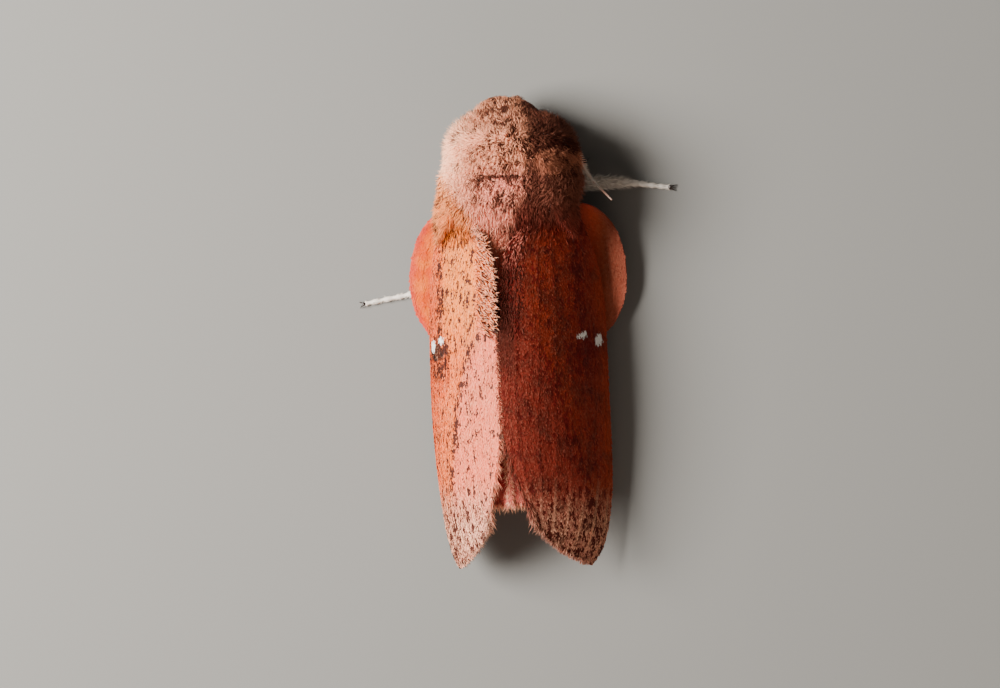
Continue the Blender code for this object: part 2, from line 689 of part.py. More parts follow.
def split_shared_diagonals(mesh):
    """Leaves no more than two triangles on each edge."""
    for edge in [edge for edge in mesh.edges if len(edge.link_faces) > 2]:
        for first, second in combinations(list(edge.link_faces), 2):
            if turn_diagonal(mesh, edge, first, second):
                break


def keep_largest(data):
    """Keeps the largest closed surface of a mesh, in triangles."""
    mesh = bmesh.new()
    mesh.from_mesh(data)
    keep = max(islands_of(mesh), key=len)
    bmesh.ops.delete(mesh, geom=[vertex for vertex in mesh.verts if vertex not in keep], context="VERTS")
    bmesh.ops.triangulate(mesh, faces=mesh.faces)
    split_shared_diagonals(mesh)
    mesh.to_mesh(data)
    mesh.free()


def is_closed(data):
    """Whether a mesh has faces and every edge of it lies between two of them."""
    mesh = bmesh.new()
    mesh.from_mesh(data)
    closed = len(mesh.faces) > 0 and all(len(edge.link_faces) == 2 for edge in mesh.edges)
    mesh.free()
    return closed


def combined(base, pieces, operation):
    """A base mesh joined with, or cut by, a group of closed pieces, which are then removed."""
    scene = bpy.context.scene.collection
    group = bpy.data.collections.new(base.name + "_pieces")
    scene.children.link(group)
    scene.objects.link(base)
    for piece in pieces:
        group.objects.link(piece)
    boolean = base.modifiers.new(operation.title(), "BOOLEAN")
    boolean.operation = operation
    boolean.operand_type = "COLLECTION"
    boolean.collection = group
    for solver in ("MANIFOLD", "EXACT"):
        boolean.solver = solver
        bpy.context.view_layer.update()
        graph = bpy.context.evaluated_depsgraph_get()
        data = bpy.data.meshes.new_from_object(base.evaluated_get(graph))
        if is_closed(data) and len(data.vertices) != len(base.data.vertices):
            break
    base.modifiers.clear()
    base.data = data
    for piece in list(group.objects):
        bpy.data.objects.remove(piece)
    bpy.data.collections.remove(group)
    scene.objects.unlink(base)
    return base


def box_of(thing):
    """The lowest and highest corner of a mesh object's own points."""
    points = np.array([vertex.co[:] for vertex in thing.data.vertices])
    return points.min(axis=0), points.max(axis=0)


def near(thing, piece):
    """Whether two mesh objects' boxes touch."""
    (low, high), (low_piece, high_piece) = box_of(thing), box_of(piece)
    return bool(np.all(low < high_piece) and np.all(low_piece < high))


def node_makers():
    """Each node's name, its material's name, its function and the words in the names of nodes that cut it."""
    sides = ((LEFT, "_left"), (RIGHT, "_right"))
    makers = []
    for side, word in sides:
        makers.append(("forewing" + word, "forewing", partial(forewing, side), ()))
        makers.append(("hindwing" + word, "hindwing", partial(hindwing, side), ()))
        makers.append(("eye" + word, "eye", partial(eye, side), ()))
    for name in LEG_JOINTS:
        makers.append((name, "limb", partial(leg, name), ()))
    for name in ANTENNA_JOINTS:
        makers.append((name, "limb", partial(antenna, name), ()))
    for side, word in sides:
        makers.append(("tegula" + word, "coat", partial(tegula, side), ("forewing",)))
    makers.append(("collar", "coat", partial(body_pieces, "collar"), ("antenna", "eye", "leg")))
    makers.append(("head", "coat", partial(body_pieces, "head"), ("antenna", "eye")))
    makers.append(("thorax", "coat", partial(body_pieces, "thorax"), ("wing", "leg", "antenna", "tegula")))
    makers.append(("abdomen", "coat", partial(body_pieces, "abdomen"), ("wing", "leg")))
    return makers


def build():
    """Makes every node, the furry ones cut clear of the limbs and wings made before them."""
    clear_scene()
    moth = bpy.data.collections.new("honey_locust_moth")
    materials = {name: make_material(name, colour, 0.8) for name, colour in COLOURS.items()}
    nodes, before = [], []
    for name, slot, make, cut_by in node_makers():
        pieces = make()
        node = pieces[0]
        node.name = name
        if len(pieces) > 1:
            combined(node, pieces[1:], "UNION")
        cutters = []
        for other, grow in before:
            if any(word in other for word in cut_by):
                cutters += grow(spread=GAP)
        wanted = [cutter for cutter in cutters if near(node, cutter)]
        for cutter in set(cutters) - set(wanted):
            bpy.data.objects.remove(cutter)
        if wanted:
            combined(node, wanted, "DIFFERENCE")
        keep_largest(node.data)
        node.data.materials.clear()
        node.data.materials.append(materials[slot])
        nodes.append(node)
        before.append((name, make))
    bpy.context.scene.collection.children.link(moth)
    for node in nodes:
        moth.objects.link(node)


if __name__ == "__main__":
    build()
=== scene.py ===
"""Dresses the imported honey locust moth: furred body, scaled wings, legs, feelers and eyes.

Lengths in the classes are in millimetres, and meshes are made in metres. A place on the moth is given as
across (to the right of its middle), aft (behind the front of its coat) and height above the floor.
"""

from __future__ import annotations

import logging
import math
from collections.abc import Callable, Sequence
from dataclasses import dataclass, field
from enum import Enum
from functools import cached_property
from itertools import product

import bpy
import numpy as np
from mathutils import Matrix, Vector

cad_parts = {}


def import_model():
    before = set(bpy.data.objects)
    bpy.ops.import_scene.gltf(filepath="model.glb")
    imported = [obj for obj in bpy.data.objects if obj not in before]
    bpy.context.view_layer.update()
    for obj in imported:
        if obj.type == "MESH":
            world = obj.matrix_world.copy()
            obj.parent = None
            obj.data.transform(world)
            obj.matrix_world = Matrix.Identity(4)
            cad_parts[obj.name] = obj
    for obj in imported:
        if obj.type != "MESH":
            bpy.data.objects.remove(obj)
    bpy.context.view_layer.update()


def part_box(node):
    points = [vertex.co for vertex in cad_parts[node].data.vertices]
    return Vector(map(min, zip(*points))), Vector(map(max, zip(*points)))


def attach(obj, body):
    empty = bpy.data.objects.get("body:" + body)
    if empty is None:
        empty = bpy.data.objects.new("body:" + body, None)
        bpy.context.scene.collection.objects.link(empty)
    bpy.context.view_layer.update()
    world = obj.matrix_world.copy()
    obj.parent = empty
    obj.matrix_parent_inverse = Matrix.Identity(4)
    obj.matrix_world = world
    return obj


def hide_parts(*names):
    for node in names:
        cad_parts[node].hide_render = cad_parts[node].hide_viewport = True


Array = np.ndarray
Points = Sequence[Sequence[float]]
Weight = Callable[[Array, Array], Array]
MM = 0.001
WING_LENGTH = 33.6
WIDEST_AFT = 21.5
BODY = "root"
BAKE_MAP = "OFBake"
AHEAD = (1.0, 0.0)
NEAR = 0.01
BAKE_PATCH = 0.003
BOX_MARGIN = 0.08
PACKED = (
    "head", "collar", "thorax", "forewing_left", "forewing_right", "hindwing_left", "hindwing_right",
    "midleg_right", "hindleg_left", "foreleg_left",
)
LOG = logging.getLogger("moth")


class Side(Enum):
    """One side of the moth: its word in names, and +1 on the right."""

    LEFT = ("left", -1)
    RIGHT = ("right", 1)

    @property
    def word(self) -> str:
        """The side's name."""
        return self.value[0]

    @property
    def sign(self) -> int:
        """The side's direction across the moth."""
        return self.value[1]


class Slot(Enum):
    """The record's material slots."""

    COAT = "coat"
    FOREWING = "forewing"
    HINDWING = "hindwing"
    LIMB = "limb"
    EYE = "eye"


class Tint(Enum):
    """The moth's colours, as 8-bit display values."""

    CREAM = (255, 188, 150)
    BEIGE = (250, 160, 120)
    ROSE = (255, 146, 124)
    BROWN = (76, 28, 14)
    UMBER = (34, 14, 8)
    TAN = (186, 112, 68)
    GOLD = (244, 130, 34)
    APRICOT = (234, 104, 34)
    ORANGE = (220, 84, 22)
    PINK = (240, 114, 80)
    ASH = (228, 166, 140)
    SILVER = (206, 196, 184)
    WHITE = (250, 246, 240)
    SALMON = (212, 66, 4)
    CRIMSON = (198, 58, 64)
    MAUVE = (150, 84, 66)
    RUSSET = (84, 28, 15)
    PEARL = (255, 196, 166)
    MAROON = (128, 18, 8)
    BONE = (216, 207, 195)
    CLAW = (26, 16, 12)

    @property
    def linear(self) -> tuple[float, float, float, float]:
        """The colour as a shader takes it."""
        shares = [value / 255 for value in self.value]
        return (*[v / 12.92 if v <= 0.04045 else ((v + 0.055) / 1.055) ** 2.4 for v in shares], 1.0)


class Curve:
    """A smooth curve through stations, each (place, value, ...)."""

    def __init__(self, stations: Points) -> None:
        """Reads the stations.

        Args:
            stations: Rows of a place followed by the values there.
        """
        table = np.array(stations, float)
        self.places, self.values = table[:, 0], table[:, 1:]
        self.slopes = np.gradient(self.values, self.places, axis=0)

    def __call__(self, where: Array | float) -> Array:
        """The values at places along the curve.

        Args:
            where: Places, held within the curve's ends.

        Returns:
            The values, with a last axis where the curve has more than one.
        """
        where = np.clip(np.asarray(where, float), self.places[0], self.places[-1])
        k = np.clip(np.searchsorted(self.places, where, side="right") - 1, 0, len(self.places) - 2)
        span = (self.places[k + 1] - self.places[k])[..., None]
        s = (where - self.places[k])[..., None] / span
        bend = (2 * s**3 - 3 * s**2 + 1) * self.values[k] + (3 * s**2 - 2 * s**3) * self.values[k + 1]
        bend += (s**3 - 2 * s**2 + s) * span * self.slopes[k] + (s**3 - s**2) * span * self.slopes[k + 1]
        return bend if bend.shape[-1] > 1 else bend[..., 0]


def along_outline(points: Points) -> Curve:
    """A curve along an outline, counted from 0 to 1 by its length.

    Args:
        points: The outline's points.

    Returns:
        The curve.
    """
    line = np.array(points, float)
    runs = np.concatenate([[0.0], np.cumsum(np.linalg.norm(np.diff(line, axis=0), axis=1))])
    return Curve(np.column_stack([runs / runs[-1], line]))


def unit(vectors: Array) -> Array:
    """Vectors at length 1."""
    return vectors / np.maximum(np.linalg.norm(vectors, axis=-1, keepdims=True), 1e-12)


def ease(values: Array | float, low: float, high: float) -> Array:
    """A smooth step from 0 at low to 1 at high, which may be the smaller."""
    share = np.clip((np.asarray(values, float) - low) / (high - low), 0.0, 1.0)
    return share * share * (3 - 2 * share)


LEAN = Curve((
    (0.0, 0.0), (0.6, 0.05), (1.4, 0.32), (2.4, 0.56), (4.0, 0.70), (5.5, 0.65), (6.5, 0.52), (8.3, 0.28),
    (10.0, 0.15), (12.0, 0.05), (14.0, 0.0), (34.0, 0.0),
))


@dataclass(frozen=True)
class Middle:
    """Where the moth lies in the frame: the x of its middle and the y of the front of its coat."""

    x: float
    y: float

    @classmethod
    def from_frame(cls) -> "Middle":
        """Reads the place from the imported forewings."""
        left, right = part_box("forewing_left"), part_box("forewing_right")
        return cls((left[0].x + right[1].x) / 2 / MM - float(LEAN(WIDEST_AFT)), left[0].y / MM + WING_LENGTH)

    def world(self, across: Array, aft: Array, height: Array) -> Array:
        """Points in the frame's axes.

        Args:
            across: Distances to the moth's right.
            aft: Distances behind the front of the coat.
            height: Heights above the floor.

        Returns:
            The points, in millimetres, on a last axis of three.
        """
        across, aft, height = np.broadcast_arrays(across, aft, height)
        return np.stack([across + LEAN(aft) + self.x, self.y - aft, height], axis=-1)

    def places(self, points: Array) -> Array:
        """Rows of (aft, across, height) for points in the frame's axes."""
        aft = self.y - points[:, 1]
        return np.column_stack([aft, points[:, 0] - self.x - LEAN(aft), points[:, 2]])


def linked(name: str, data: bpy.types.ID) -> bpy.types.Object:
    """A new object in the scene.

    Args:
        name: Its name.
        data: The mesh, light or camera that it shows.

    Returns:
        The object.
    """
    thing = bpy.data.objects.new(name, data)
    bpy.context.scene.collection.objects.link(thing)
    return thing


def make_object(name: str, points: Array, faces: list, look: Look) -> bpy.types.Object:
    """A new smooth mesh object.

    Args:
        name: The piece's name.
        points: Its points, in millimetres.
        faces: Its faces, as places in points.
        look: Its finish.

    Returns:
        The object, linked to the scene.
    """
    mesh = bpy.data.meshes.new(name)
    mesh.from_pydata((points.reshape(-1, 3) * MM).tolist(), [], faces)
    mesh.polygons.foreach_set("use_smooth", np.ones(len(mesh.polygons), bool))
    mesh.materials.append(look.material)
    return linked(name, mesh)


def give(mesh: bpy.types.Mesh, name: str, values: Array) -> None:
    """Keeps a number or a vector for each point of a mesh.

    Args:
        mesh: The mesh.
        name: The name that the values are kept under.
        values: One number or one row of three for each point.
    """
    kind, part = ("FLOAT", "value") if np.ndim(values) == 1 else ("FLOAT_VECTOR", "vector")
    attribute = mesh.attributes.new(name, kind, "POINT")
    attribute.data.foreach_set(part, np.ascontiguousarray(values, np.float32).ravel())


def tube_faces(rings: int, sides: int) -> list[tuple[int, ...]]:
    """The faces of a tube of rings, its two ends closed.

    Args:
        rings: How many rings.
        sides: How many points on each.

    Returns:
        The faces, as places in the points.
    """
    faces: list[tuple[int, ...]] = []
    for i in range(rings - 1):
        for k in range(sides):
            m = (k + 1) % sides
            faces.append((i * sides + k, (i + 1) * sides + k, (i + 1) * sides + m, i * sides + m))
    faces.append(tuple(range(sides)))
    faces.append(tuple((rings - 1) * sides + k for k in reversed(range(sides))))
    return faces


def outward(thing: bpy.types.Object) -> bpy.types.Object:
    """Turns a closed piece right side out, by the sign of its volume.

    Args:
        thing: The piece.

    Returns:
        The piece.
    """
    mesh = thing.data
    mesh.calc_loop_triangles()
    corners = np.array([mesh.vertices[v].co[:] for t in mesh.loop_triangles for v in t.vertices])
    a, b, c = corners.reshape(-1, 3, 3).transpose(1, 0, 2)
    if np.einsum("ij,ij->i", a, np.cross(b, c)).sum() < 0:
        mesh.flip_normals()
    return thing


@dataclass(frozen=True)
class Blade:
    """A thin tapering hair tuft, one unit long and wide, that bends away from the skin."""

    bend: float
    lift_off: float = 0.35
    thickness: float = 0.045
    stations: tuple[tuple[float, float], ...] = ((0.0, 0.8), (0.55, 0.85))

    def mesh(self, name: str) -> bpy.types.Mesh:
        """The tuft's closed mesh, with its own place in the attribute "patch".

        Args:
            name: The mesh's name.

        Returns:
            The mesh.
        """
        points, patch, faces = [], [], []
        for share, wide in self.stations:
            rise = self.height(share)
            points += [(share, -wide / 2, rise), (share, wide / 2, rise), (share, 0.0, rise + self.thickness)]
            patch += [(share, 0.0, 0.0), (share, 1.0, 0.0), (share, 0.5, 0.0)]
        points.append((1.0, 0.0, self.height(1.0)))
        patch.append((1.0, 0.5, 0.0))
        for i in range(len(self.stations) - 1):
            for k in range(3):
                m = (k + 1) % 3
                faces.append((3 * i + k, 3 * i + m, 3 * i + 3 + m, 3 * i + 3 + k))
        last = 3 * (len(self.stations) - 1)
        faces += [(last, last + 1, last + 3), (last + 1, last + 2, last + 3), (last + 2, last, last + 3)]
        faces.append((2, 1, 0))
        mesh = bpy.data.meshes.new(name)
        mesh.from_pydata(points, [], faces)
        mesh.polygons.foreach_set("use_smooth", np.ones(len(faces), bool))
        give(mesh, "patch", np.array(patch))
        return mesh

    def height(self, share: float) -> float:
        """How far the tuft's middle stands off at a share of its length."""
        return self.bend * (share - self.lift_off) * share


@dataclass(frozen=True)
class Flake:
    """A wing scale: a thin closed leaf, one unit long and wide, broadest near its outer end."""

    skew: float = 0.0
    thickness: float = 0.08

    def mesh(self, name: str) -> bpy.types.Mesh:
        """The scale's closed mesh, with its own place in the attribute "patch".

        Args:
            name: The mesh's name.

        Returns:
            The mesh.
        """
        rim = [(0, 0, 0), (0.7, -0.5, 0.02), (1, self.skew, 0), (0.7, 0.5, 0.02)]
        points = [*rim, (0.6, 0.0, -self.thickness)]
        faces = [(0, 1, 2, 3), (1, 0, 4), (2, 1, 4), (3, 2, 4), (0, 3, 4)]
        mesh = bpy.data.meshes.new(name)
        mesh.from_pydata(points, [], faces)
        give(mesh, "patch", np.array([(x, y + 0.5, 0) for x, y, _ in points]))
        return mesh


class Shapes(Enum):
    """The sets of small shapes that a coat is made of."""

    HAIR = (Blade(0.1), Blade(0.35), Blade(-0.3), Blade(0.6, 0.5))
    CURLED = (Blade(-1.3, 0.95), Blade(-0.8, 1.1), Blade(-1.7, 0.8), Blade(0.5, 0.5))
    STRAIGHT = (Blade(0.05), Blade(-0.12), Blade(0.2))
    FLAKE = (Flake(0.0), Flake(0.25), Flake(-0.25))

    def group(self) -> bpy.types.Collection:
        """The set's own collection of small objects, made once.

        Returns:
            The collection.
        """
        name = f"shapes_{self.name.lower()}"
        found = bpy.data.collections.get(name)
        if found:
            return found
        found = bpy.data.collections.new(name)
        for number, shape in enumerate(self.value):
            label = f"{name}_{number}"
            found.objects.link(bpy.data.objects.new(label, shape.mesh(label)))
        return found


@dataclass
class Roots:
    """Where a coat's tufts grow, and how each lies."""

    points: Array
    lie: Array
    out: Array
    place: Array
    bake: Array
    length: Array
    width: Array
    lift: Array
    shade: Array

    def kept(self, wanted: Array) -> "Roots":
        """The roots that are wanted, by a mask or by their numbers."""
        return Roots(**{name: values[wanted] for name, values in vars(self).items()})

    def shorten(self, box: tuple[Array, Array], reach: float, lifts: float, turns: float) -> None:
        """Shortens the tufts whose tips would leave a box.

        Args:
            box: The box's lowest and highest corner.
            reach: The longest tuft's length, before each root's own share.
            lifts: How far a tuft's lift strays.
            turns: How far a tuft turns from its lie.
        """
        shares = []
        side = np.cross(self.out, self.lie)
        for raised, turned in product((-lifts, 0.0, lifts), (-turns, 0.0, turns)):
            lift = (self.lift + raised)[:, None]
            lie = self.lie * math.cos(turned) + side * math.sin(turned)
            tip = (lie * np.cos(lift) + self.out * np.sin(lift)) * (self.length * reach)[:, None]
            room = np.where(tip > 0, box[1] - BOX_MARGIN - self.points, self.points - box[0] - BOX_MARGIN)
            shares.append(np.maximum(room, 0.0) / np.maximum(np.abs(tip), 1e-6))
        self.length = self.length * np.clip(np.min(shares, axis=(0, 2)), 0.03, 1.0)

    def mesh(self, name: str) -> bpy.types.Mesh:
        """The roots as loose points with their values.

        Args:
            name: The mesh's name.

        Returns:
            The mesh.
        """
        mesh = bpy.data.meshes.new(name)
        mesh.from_pydata((self.points * MM).tolist(), [], [])
        given = vars(self) | {"bake_root": np.column_stack([self.bake, np.zeros(len(self.bake))])}
        for label in ("lie", "out", "place", "bake_root", "length", "width", "lift", "shade"):
            give(mesh, label, given[label])
        return mesh


@dataclass
class Signal:
    """A number in a node tree, with the usual signs for sums on it."""

    sheet: "NodeSheet"
    socket: bpy.types.NodeSocket

    def __add__(self, other: object) -> "Signal":
        """The sum with another value."""
        return self.sheet.math("ADD", self, other)

    def __sub__(self, other: object) -> "Signal":
        """This value less another."""
        return self.sheet.math("SUBTRACT", self, other)

    def __rsub__(self, other: object) -> "Signal":
        """Another value less this one."""
        return self.sheet.math("SUBTRACT", other, self)

    def __mul__(self, other: object) -> "Signal":
        """The product with another value."""
        return self.sheet.math("MULTIPLY", self, other)

    def __truediv__(self, other: object) -> "Signal":
        """This value divided by another."""
        return self.sheet.math("DIVIDE", self, other)

    def most(self, other: object) -> "Signal":
        """The larger of two values."""
        return self.sheet.math("MAXIMUM", self, other)

    def step(self, low: float, high: float) -> "Signal":
        """A smooth step of this value.

        Args:
            low: Where the step is 0.
            high: Where it is 1, which may be below low.

        Returns:
            The step.
        """
        inputs = {"Value": self, "From Min": min(low, high), "From Max": max(low, high)}
        inputs |= {"To Min": float(low > high), "To Max": float(low <= high)}
        node = self.sheet.node("ShaderNodeMapRange", inputs, interpolation_type="SMOOTHSTEP")
        return Signal(self.sheet, node.outputs[0])

    def bell(self, centre: object, width: float) -> "Signal":
        """1 where this value meets a centre, falling to 0 within about twice a width."""
        off = (self - centre) / width
        return self.sheet.math("EXPONENT", off * off * -1.0)

    def strewn(self, turns: float, low: float, high: float) -> "Signal":
        """A step of this value's own random part, for which turns picks the draw."""
        return self.sheet.math("FRACT", self * turns).step(low, high)


class NodeSheet:
    """Adds nodes to a tree in reading order and joins them."""

    ROW_LENGTH = 10
    SPACING = (190, -280)
    OVAL_RIM = (1.35, 0.75)

    def __init__(self, tree: bpy.types.NodeTree) -> None:
        """Starts on a tree."""
        self.tree = tree
        self.count = 0

    @classmethod
    def group(cls, name: str, kind: str, inputs: dict[str, str], outputs: dict[str, str]) -> "NodeSheet":
        """A sheet on a new node group.

        Args:
            name: The group's name.
            kind: The kind of its tree.
            inputs: The names and kinds of its inputs.
            outputs: The names and kinds of its outputs.

        Returns:
            The sheet.
        """
        tree = bpy.data.node_groups.new(name, kind)
        for way, sockets in (("INPUT", inputs), ("OUTPUT", outputs)):
            for label, socket in sockets.items():
                tree.interface.new_socket(label, in_out=way, socket_type=f"NodeSocket{socket}")
        return cls(tree)

    def node(self, kind: str, inputs: dict | None = None, **settings: object) -> bpy.types.Node:
        """A new node.

        Args:
            kind: The node's type.
            inputs: What goes into its sockets, by name or number.
            settings: Its own properties.

        Returns:
            The node.
        """
        node = self.tree.nodes.new(kind)
        row, column = divmod(self.count, self.ROW_LENGTH)
        node.location = (column * self.SPACING[0], row * self.SPACING[1])
        self.count += 1
        for name, value in settings.items():
            setattr(node, name, value)
        for name, value in (inputs or {}).items():
            self.feed(node.inputs[name], value)
        return node

    def feed(self, socket: bpy.types.NodeSocket, value: object) -> None:
        """Feeds a socket.

        Args:
            socket: The socket.
            value: A signal or another socket to join to it, or its own value, which may be a tint.
        """
        if isinstance(value, Signal):
            value = value.socket
        if isinstance(value, bpy.types.NodeSocket):
            self.tree.links.new(value, socket)
        else:
            socket.default_value = value.linear if isinstance(value, Tint) else value

    def math(self, operation: str, *values: object) -> Signal:
        """The result of one sum on up to three values."""
        node = self.node("ShaderNodeMath", dict(enumerate(values)), operation=operation)
        return Signal(self, node.outputs[0])

    def parts(self, vector: bpy.types.NodeSocket) -> list[Signal]:
        """The three parts of a vector."""
        return [Signal(self, part) for part in self.node("ShaderNodeSeparateXYZ", {0: vector}).outputs]

    def noise(self, place: object, scale: float, detail: float = 3.0) -> bpy.types.Node:
        """A soft cloudy noise over a place."""
        return self.node("ShaderNodeTexNoise", {"Vector": place, "Scale": scale, "Detail": detail})

    def paint(self, colour: object, *layers: tuple[object, Tint]) -> object:
        """A colour with others laid over it.

        Args:
            colour: The first colour.
            layers: How much of each further colour is laid on, and which.

        Returns:
            The colour that shows.
        """
        for share, tint in layers:
            node = self.node("ShaderNodeMix", data_type="RGBA")
            for place, value in ((0, share), (6, colour), (7, tint)):
                self.feed(node.inputs[place], value)
            colour = node.outputs[2]
        return colour

    def oval(self, aft: Signal, other: Signal, shape: tuple[float, float, float, float]) -> Signal:
        """A soft-rimmed oval mark.

        Args:
            aft: The place aft.
            other: The place across or down.
            shape: The oval's middle, aft and other, and its half length and half width.

        Returns:
            1 inside the oval and 0 outside it.
        """
        first, second = (aft - shape[0]) / shape[2], (other - shape[1]) / shape[3]
        return (first * first + second * second).step(*self.OVAL_RIM)

    def named(self, name: str) -> bpy.types.Node:
        """A geometry attribute in a material."""
        return self.node("ShaderNodeAttribute", attribute_name=name)


@dataclass(frozen=True)
class CoatTree:
    """The Geometry Nodes tree that sets a small shape at each root and turns all of it to one mesh."""

    name: str = "coat_tree"
    most_shapes: int = 11

    def tree(self) -> bpy.types.NodeTree:
        """The tree, made once."""
        return bpy.data.node_groups.get(self.name) or self.build()

    def build(self) -> bpy.types.NodeTree:
        """Makes the tree.

        Returns:
            The tree, with its inputs named.
        """
        floats = ("Length", "Width", "Length Spread", "Lift Spread", "Turn Spread", "Roll Spread", "Patch")
        inputs = {"Roots": "Geometry", "Shapes": "Collection"} | dict.fromkeys(floats, "Float")
        inputs |= {"Seed": "Int", "Material": "Material"}
        sheet = NodeSheet.group(self.name, "GeometryNodeTree", inputs, {"Coat": "Geometry"})
        given = sheet.node("NodeGroupInput").outputs
        realized = sheet.node("GeometryNodeRealizeInstances", {0: self.placed(sheet, given)})
        patch = {0: self.vector(sheet, "patch"), "Scale": given["Patch"]}
        spot = {0: self.vector(sheet, "bake_root")}
        spot[1] = sheet.node("ShaderNodeVectorMath", patch, operation="SCALE").outputs[0]
        mapped = sheet.node(
            "GeometryNodeStoreNamedAttribute",
            {
                "Geometry": realized.outputs[0], "Name": BAKE_MAP,
                "Value": sheet.node("ShaderNodeVectorMath", spot).outputs[0],
            },
            data_type="FLOAT2", domain="CORNER",
        )
        coated = {"Geometry": mapped.outputs[0], "Material": given["Material"]}
        sheet.node("NodeGroupOutput", {0: sheet.node("GeometryNodeSetMaterial", coated).outputs[0]})
        return sheet.tree

    def vector(self, sheet: NodeSheet, name: str) -> bpy.types.NodeSocket:
        """A named vector of the geometry."""
        node = sheet.node("GeometryNodeInputNamedAttribute", {"Name": name}, data_type="FLOAT_VECTOR")
        return node.outputs["Attribute"]

    def number(self, sheet: NodeSheet, name: str) -> Signal:
        """A named number of the geometry."""
        node = sheet.node("GeometryNodeInputNamedAttribute", {"Name": name}, data_type="FLOAT")
        return Signal(sheet, node.outputs["Attribute"])

    def varied(self, sheet: NodeSheet, given: object, spread: str, offset: int) -> Signal:
        """A random number between minus and plus a spread.

        Args:
            sheet: The tree's sheet.
            given: The tree's inputs.
            spread: The name of the spread's input.
            offset: What is added to the seed, so that each number has its own.

        Returns:
            The number.
        """
        low = Signal(sheet, given[spread]) * -1.0
        inputs = {2: low, 3: given[spread], "Seed": Signal(sheet, given["Seed"]) + float(offset)}
        return Signal(sheet, sheet.node("FunctionNodeRandomValue", inputs, data_type="FLOAT").outputs[1])

    def placed(self, sheet: NodeSheet, given: object) -> bpy.types.NodeSocket:
        """The small shapes set at their roots, turned along the lie and scaled.

        Args:
            sheet: The tree's sheet.
            given: The tree's inputs.

        Returns:
            The shapes, as instances.
        """
        frame = sheet.node(
            "FunctionNodeAxesToRotation", {0: self.vector(sheet, "lie"), 1: self.vector(sheet, "out")},
            primary_axis="X", secondary_axis="Z",
        )
        angles = sheet.node("ShaderNodeCombineXYZ", {
            "X": self.varied(sheet, given, "Roll Spread", 2),
            "Y": (self.number(sheet, "lift") + self.varied(sheet, given, "Lift Spread", 1)) * -1.0,
            "Z": self.varied(sheet, given, "Turn Spread", 3),
        })
        turn = sheet.node("FunctionNodeEulerToRotation", {0: angles.outputs[0]}).outputs[0]
        turned = sheet.node(
            "FunctionNodeRotateRotation", {0: frame.outputs[0], 1: turn}, rotation_space="LOCAL"
        )
        share = self.varied(sheet, given, "Length Spread", 4) + 1.0
        length = self.number(sheet, "length") * given["Length"] * share
        width = self.number(sheet, "width") * given["Width"]
        scale = sheet.node("ShaderNodeCombineXYZ", {"X": length, "Y": width, "Z": length})
        chosen = {"Collection": given["Shapes"], "Separate Children": True}
        shapes = sheet.node("GeometryNodeCollectionInfo", chosen)
        picks = {4: 0, 5: self.most_shapes, "Seed": given["Seed"]}
        grown = sheet.node("GeometryNodeInstanceOnPoints", {
            "Points": given["Roots"], "Instance": shapes.outputs[0], "Pick Instance": True,
            "Instance Index": sheet.node("FunctionNodeRandomValue", picks, data_type="INT").outputs[2],
            "Rotation": turned.outputs[0], "Scale": scale.outputs[0],
        })
        return grown.outputs[0]


@dataclass(frozen=True)
class Coat:
    """One kind of tuft: its shapes, its size and how much it varies."""

    shapes: Shapes
    length: float
    width: float
    length_spread: float = 0.25
    lift_spread: float = 0.15
    turn_spread: float = 0.25
    roll_spread: float = 0.5
    seed: int = 1

    @property
    def box(self) -> tuple[Array, Array]:
        """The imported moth's lowest and highest corner, in millimetres."""
        low, high = zip(*[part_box(name) for name in PACKED])
        return np.min(low, axis=0) / MM, np.max(high, axis=0) / MM

    def grow(self, name: str, roots: Roots, look: Look) -> bpy.types.Object:
        """Grows the tufts on their roots as one mesh.

        Args:
            name: The piece's name.
            roots: Where the tufts grow.
            look: Their finish.

        Returns:
            The piece, riding on the body.
        """
        roots.shorten(self.box, self.length * (1 + self.length_spread), self.lift_spread, self.turn_spread)
        holder = linked(name + "_roots", roots.mesh(name + "_roots"))
        modifier = holder.modifiers.new("Coat", "NODES")
        modifier.node_group = CoatTree().tree()
        names = {item.name: item.identifier for item in modifier.node_group.interface.items_tree}
        values = {
            "Shapes": self.shapes.group(), "Length": self.length * MM, "Width": self.width * MM,
            "Length Spread": self.length_spread, "Lift Spread": self.lift_spread,
            "Turn Spread": self.turn_spread, "Roll Spread": self.roll_spread,
            "Patch": BAKE_PATCH, "Seed": self.seed, "Material": look.material,
        }
        for label, value in values.items():
            modifier[names[label]] = value
        mesh = bpy.data.meshes.new_from_object(holder.evaluated_get(bpy.context.evaluated_depsgraph_get()))
        bpy.data.objects.remove(holder)
        for label in ("lie", "out", "length", "width", "lift", "bake_root"):
            if label in mesh.attributes:
                mesh.attributes.remove(mesh.attributes[label])
        return dressed(linked(name, mesh), look)


def dressed(piece: bpy.types.Object, look: Look, *replaced: str) -> bpy.types.Object:
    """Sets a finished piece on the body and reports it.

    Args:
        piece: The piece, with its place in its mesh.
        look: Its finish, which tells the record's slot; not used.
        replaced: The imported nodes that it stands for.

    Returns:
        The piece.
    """
    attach(piece, BODY)
    if replaced:
        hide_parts(*replaced)
    piece.data.calc_loop_triangles()
    LOG.info("%s: %d triangles", piece.name, len(piece.data.loop_triangles))
    return piece


